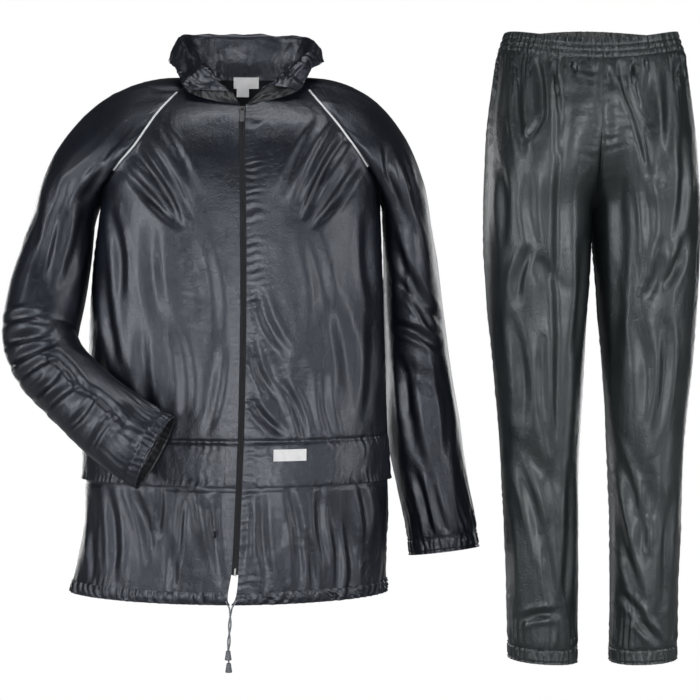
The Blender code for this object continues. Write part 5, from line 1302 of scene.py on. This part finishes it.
# %% Trouser legs
LEG_PANELS = {}
for hand, side in (("right", -1), ("left", 1)):
    for face, back in (("front", False), ("back", True)):
        name = "leg_" + face + "_" + hand
        sign = side * (1 if back else -1)
        piece = panel(name, leg_base(side, back), False, sign, "LRTB", "",
                      (("T", 9, 42, 3.0), ("B", 11, 44, 1.7), ("L", 19, 22, .9), ("R", 22, 24, .8)),
                      101 + 7 * side + 3 * back)
        LEG_PANELS[name] = piece
        width, length, area = flat_facts(piece["grid"])
        CUTS[name] = (round(width), round(length), round(area, 4))
        make_panel(piece, name, GREY, GREY_INSIDE)

# %% Waistband and leg hems
steps = np.linspace(0, 1, 61)
waist = np.concatenate([leg_row(-1, False, steps, 0)[:-1], leg_row(-1, True, steps[::-1], 0)[:-1],
                        leg_row(1, True, steps, 0)[:-1], leg_row(1, False, steps[::-1], 0)[:-1]])
base = spread(waist, 420) - np.array([0, 0, BAND_TUCK])
top = base * np.array([1, .97, 1]) + np.array([0, 0, WAISTBAND_HEIGHT + BAND_TUCK + .5])
top[:, 0] = MIDDLE_X + (base[:, 0] - MIDDLE_X) * WAIST_NARROWING
BANDS["waistband"], _ = gathered("cloth_waistband", "waistband", base, top, outward(base), (.06, .36, .66), 2.6, 9,
                                 GREY, GREY_INSIDE, 121)
for hand, side in (("right", -1), ("left", 1)):
    ring = np.concatenate([leg_row(side, False, steps, 2)[:-1], leg_row(side, True, steps[::-1], 2)[:-1]])
    base = spread(ring, 180) + np.array([0, 0, BAND_TUCK])
    low = base - np.array([0, 0, HEM_BAND_HEIGHT + BAND_TUCK + .5])
    BANDS["leg_hem_" + hand], _ = gathered("cloth_leg_hem_" + hand, "leg_hem_" + hand, base, low, outward(base),
                                           (.1, .85), 1.7, 10, GREY, GREY_INSIDE,
                                           131)

# %% [markdown]
# Stitches are short threads that dip into the cloth at both ends. They are sewn along every seam, on the
# flaps, hems, collar and bands. One small bowed rod is repeated along lines taken from the finished
# cloth, with the cloth's own outward way at each point, so the thread lies on the folds.

# %% Stitch lines
STITCH, STITCH_SPACING, THREAD = 2.3, 3.1, .42


def line_down(piece, part, row_from=0.0, row_to=2.0, count=260, away=0.0, lift=.12):
    """A line down a panel. part is its place across, and away moves it in millimetres from there."""
    i = row_places(piece, np.linspace(row_from, row_to, count))
    columns = piece["grid"].shape[1]
    points, ways = [], []
    for place in i:
        across = sample(piece["across"][..., None], np.full(columns, place), np.arange(columns))[:, 0]
        j = np.interp(across[-1] * part + away, across, np.arange(columns))
        points.append(sample(piece["grid"], place, j))
        ways.append(sample(piece["normals"], place, j))
    points, ways = np.array(points), unit_rows(np.array(ways))
    return points + ways * lift, ways


def line_across(piece, row, part_from=0.0, part_to=1.0, count=150, lift=.12):
    j = np.linspace(part_from, part_to, count) * (piece["grid"].shape[1] - 1)
    i = np.full(count, row_places(piece, row))
    ways = unit_rows(sample(piece["normals"], i, j))
    return sample(piece["grid"], i, j) + ways * lift, ways


def ring_line(outer, part, lift=.15):
    i = part * (outer.shape[0] - 1)
    low = int(i)
    ring = outer[low] * (1 - i + low) + outer[min(low + 1, len(outer) - 1)] * (i - low)
    ring = np.concatenate([ring, ring[:1]])
    ways = unit_rows(ring - ring.mean(axis=0))
    return ring + ways * lift, ways


def grid_line(grid, normals, row, lift=.15):
    return grid[row] + normals[row] * lift, normals[row]


navy_lines = []
for hand in ("right", "left"):
    front = PANELS["jacket_front_" + hand]
    navy_lines += [line_down(front, 0, 0.01, ROW_ZIP_END, 300, 5.5), line_down(front, 0, 0.01, ROW_ZIP_END, 300, 1.6),
                   line_down(front, 1, 0.01, 1, 140, -7.5), line_across(front, ROW_POCKET_SEAM - .012, .03, 1),
                   line_down(front, 1, 1, 1.96, 160, -3)]
    flap = flaps[hand]
    navy_lines += [grid_line(flap["grid"], flap["normals"], 2), grid_line(flap["grid"], flap["normals"], 25)]
    sleeve = PANELS["sleeve_" + hand]
    navy_lines += [ring_line(sleeve["grid"], 2.2 / (sleeve["grid"].shape[0] - 1)),
                   ring_line(sleeve["grid"], 1 - 24 / (sleeve["grid"].shape[0] - 1)),
                   ring_line(BANDS["cuff_" + hand], .12), ring_line(BANDS["cuff_" + hand], .85)]
navy_lines += [grid_line(tunnel, tunnel_ways, 1), grid_line(tunnel, tunnel_ways, 10),
               grid_line(collar_outer, normals, COLLAR_ROWS - 4)]
back_panel = PANELS["jacket_back"]
navy_lines += [line_down(back_panel, 0, .02, 1.96, 260, 4), line_down(back_panel, 1, .02, 1.96, 260, -4)]
stitches = set_along("stitches_jacket", navy_lines, rod("navy_stitch", STITCH * MM, THREAD * MM, 3, .12 * MM, 3),
                     STITCH_SPACING * MM, THREAD_NAVY)
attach(stitches, BODY)

grey_lines = []
for name, piece in LEG_PANELS.items():
    grey_lines += [line_down(piece, 0, .01, 1.99, 240, 3), line_down(piece, 1, .01, 1.99, 240, -3)]
for band, places in (("waistband", (.06, .36, .66)), ("leg_hem_right", (.1, .85)), ("leg_hem_left", (.1, .85))):
    grey_lines += [ring_line(BANDS[band], part) for part in places]
# placket beside the middle, and the two pocket edges with their bars
left_leg, right_leg = LEG_PANELS["leg_front_left"], LEG_PANELS["leg_front_right"]
PLACKET_AWAY = 8.0
for piece in (left_leg, right_leg):
    grey_lines.append(line_down(piece, 0, .01, .5, 90, PLACKET_AWAY))
    grey_lines.append(line_down(piece, 1, .02, .5, 90, -13))
    grey_lines.append(line_down(piece, 1, .02, .5, 90, -16))
    grey_lines.append(line_across(piece, .5, .93, .99, 24))
grey_stitches = set_along("stitches_trousers", grey_lines, rod("grey_stitch", STITCH * MM, THREAD * MM, 3, .12 * MM, 3),
                          STITCH_SPACING * MM, THREAD_GREY)
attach(grey_stitches, BODY)
for name, cut in CUTS.items():
    print("cut", name, cut)

# %% Stage and light
stage_data = bpy.data.meshes.new("floor")
FLOOR_Z, FLOOR_HALF = -0.934, 7.0
stage_data.from_pydata([(-FLOOR_HALF, -FLOOR_HALF, FLOOR_Z), (FLOOR_HALF, -FLOOR_HALF, FLOOR_Z),
                        (FLOOR_HALF, FLOOR_HALF, FLOOR_Z), (-FLOOR_HALF, FLOOR_HALF, FLOOR_Z)], [], [(0, 1, 2, 3)])
floor = bpy.data.objects.new("floor", stage_data)
bpy.context.scene.collection.objects.link(floor)
pale = bpy.data.materials.new("pale_floor")
pale.use_nodes = True
pale_shader = pale.node_tree.nodes["Principled BSDF"]
pale_shader.inputs["Base Color"].default_value = (.25, .25, .25, 1)
pale_shader.inputs["Roughness"].default_value = .95
pale_shader.inputs["Emission Color"].default_value = (1, 1, 1, 1)
pale_shader.inputs["Emission Strength"].default_value = .12
floor_seen = add(pale.node_tree, "ShaderNodeLightPath")
floor_glow = add(pale.node_tree, "ShaderNodeEmission")
floor_pick = add(pale.node_tree, "ShaderNodeMixShader")
floor_out = pale.node_tree.nodes["Material Output"]
pale.node_tree.links.new(floor_seen.outputs["Is Camera Ray"], floor_pick.inputs[0])
pale.node_tree.links.new(pale_shader.outputs[0], floor_pick.inputs[1])
pale.node_tree.links.new(floor_glow.outputs[0], floor_pick.inputs[2])
pale.node_tree.links.new(floor_pick.outputs[0], floor_out.inputs["Surface"])
stage_data.materials.append(pale)

world = bpy.data.worlds.new("studio")
world.use_nodes = True
bpy.context.scene.world = world
tree = world.node_tree
seen = tree.nodes["Background"]
seen.inputs["Color"].default_value = (1, 1, 1, 1)
seen.inputs["Strength"].default_value = 1.0
dim = add(tree, "ShaderNodeBackground")
dim.inputs["Color"].default_value = (.95, .97, 1, 1)
dim.inputs["Strength"].default_value = .05
path = add(tree, "ShaderNodeLightPath")
mix = add(tree, "ShaderNodeMixShader")
tree.links.new(path.outputs["Is Camera Ray"], mix.inputs[0])
tree.links.new(dim.outputs[0], mix.inputs[1])
tree.links.new(seen.outputs[0], mix.inputs[2])
tree.links.new(mix.outputs[0], tree.nodes["World Output"].inputs["Surface"])
bpy.context.scene.view_settings.view_transform = "Standard"


def soft_box(name, place, aim, wide, high, watts):
    data = bpy.data.lights.new(name, "AREA")
    data.shape = "RECTANGLE"
    data.size, data.size_y, data.energy = wide, high, watts
    light = bpy.data.objects.new(name, data)
    light.location = place
    way = np.array(aim) - np.array(place)
    light.rotation_euler = (math.acos(-way[2] / np.linalg.norm(way)), 0, math.atan2(way[1], way[0]) - math.pi / 2)
    bpy.context.scene.collection.objects.link(light)
    return light


soft_box("front_light", (.2, -4.6, -.55), (.2, 0, -.5), 2.3, 1.1, 95)
soft_box("left_strip", (-2.1, -1.5, -.1), (.1, 0, -.4), .35, 2.2, 34)
soft_box("right_strip", (2.5, -1.4, .1), (.25, 0, -.4), .35, 2.0, 26)
soft_box("top_light", (.1, -.5, 1.7), (.15, 0, -.2), 1.4, .3, 13)
soft_box("back_light_left", (-1.6, 2.6, -.2), (.2, 0, -.4), .8, 1.4, 14)
soft_box("back_light_right", (1.9, 2.6, -.2), (.2, 0, -.4), .8, 1.4, 14)

# %% Count
triangles = {o.name: sum(len(p.vertices) - 2 for p in o.data.polygons) for o in bpy.data.objects if o.type == "MESH"}

print("triangles in all:", sum(triangles.values()), "largest:", max(triangles.items(), key=lambda item: item[1]))
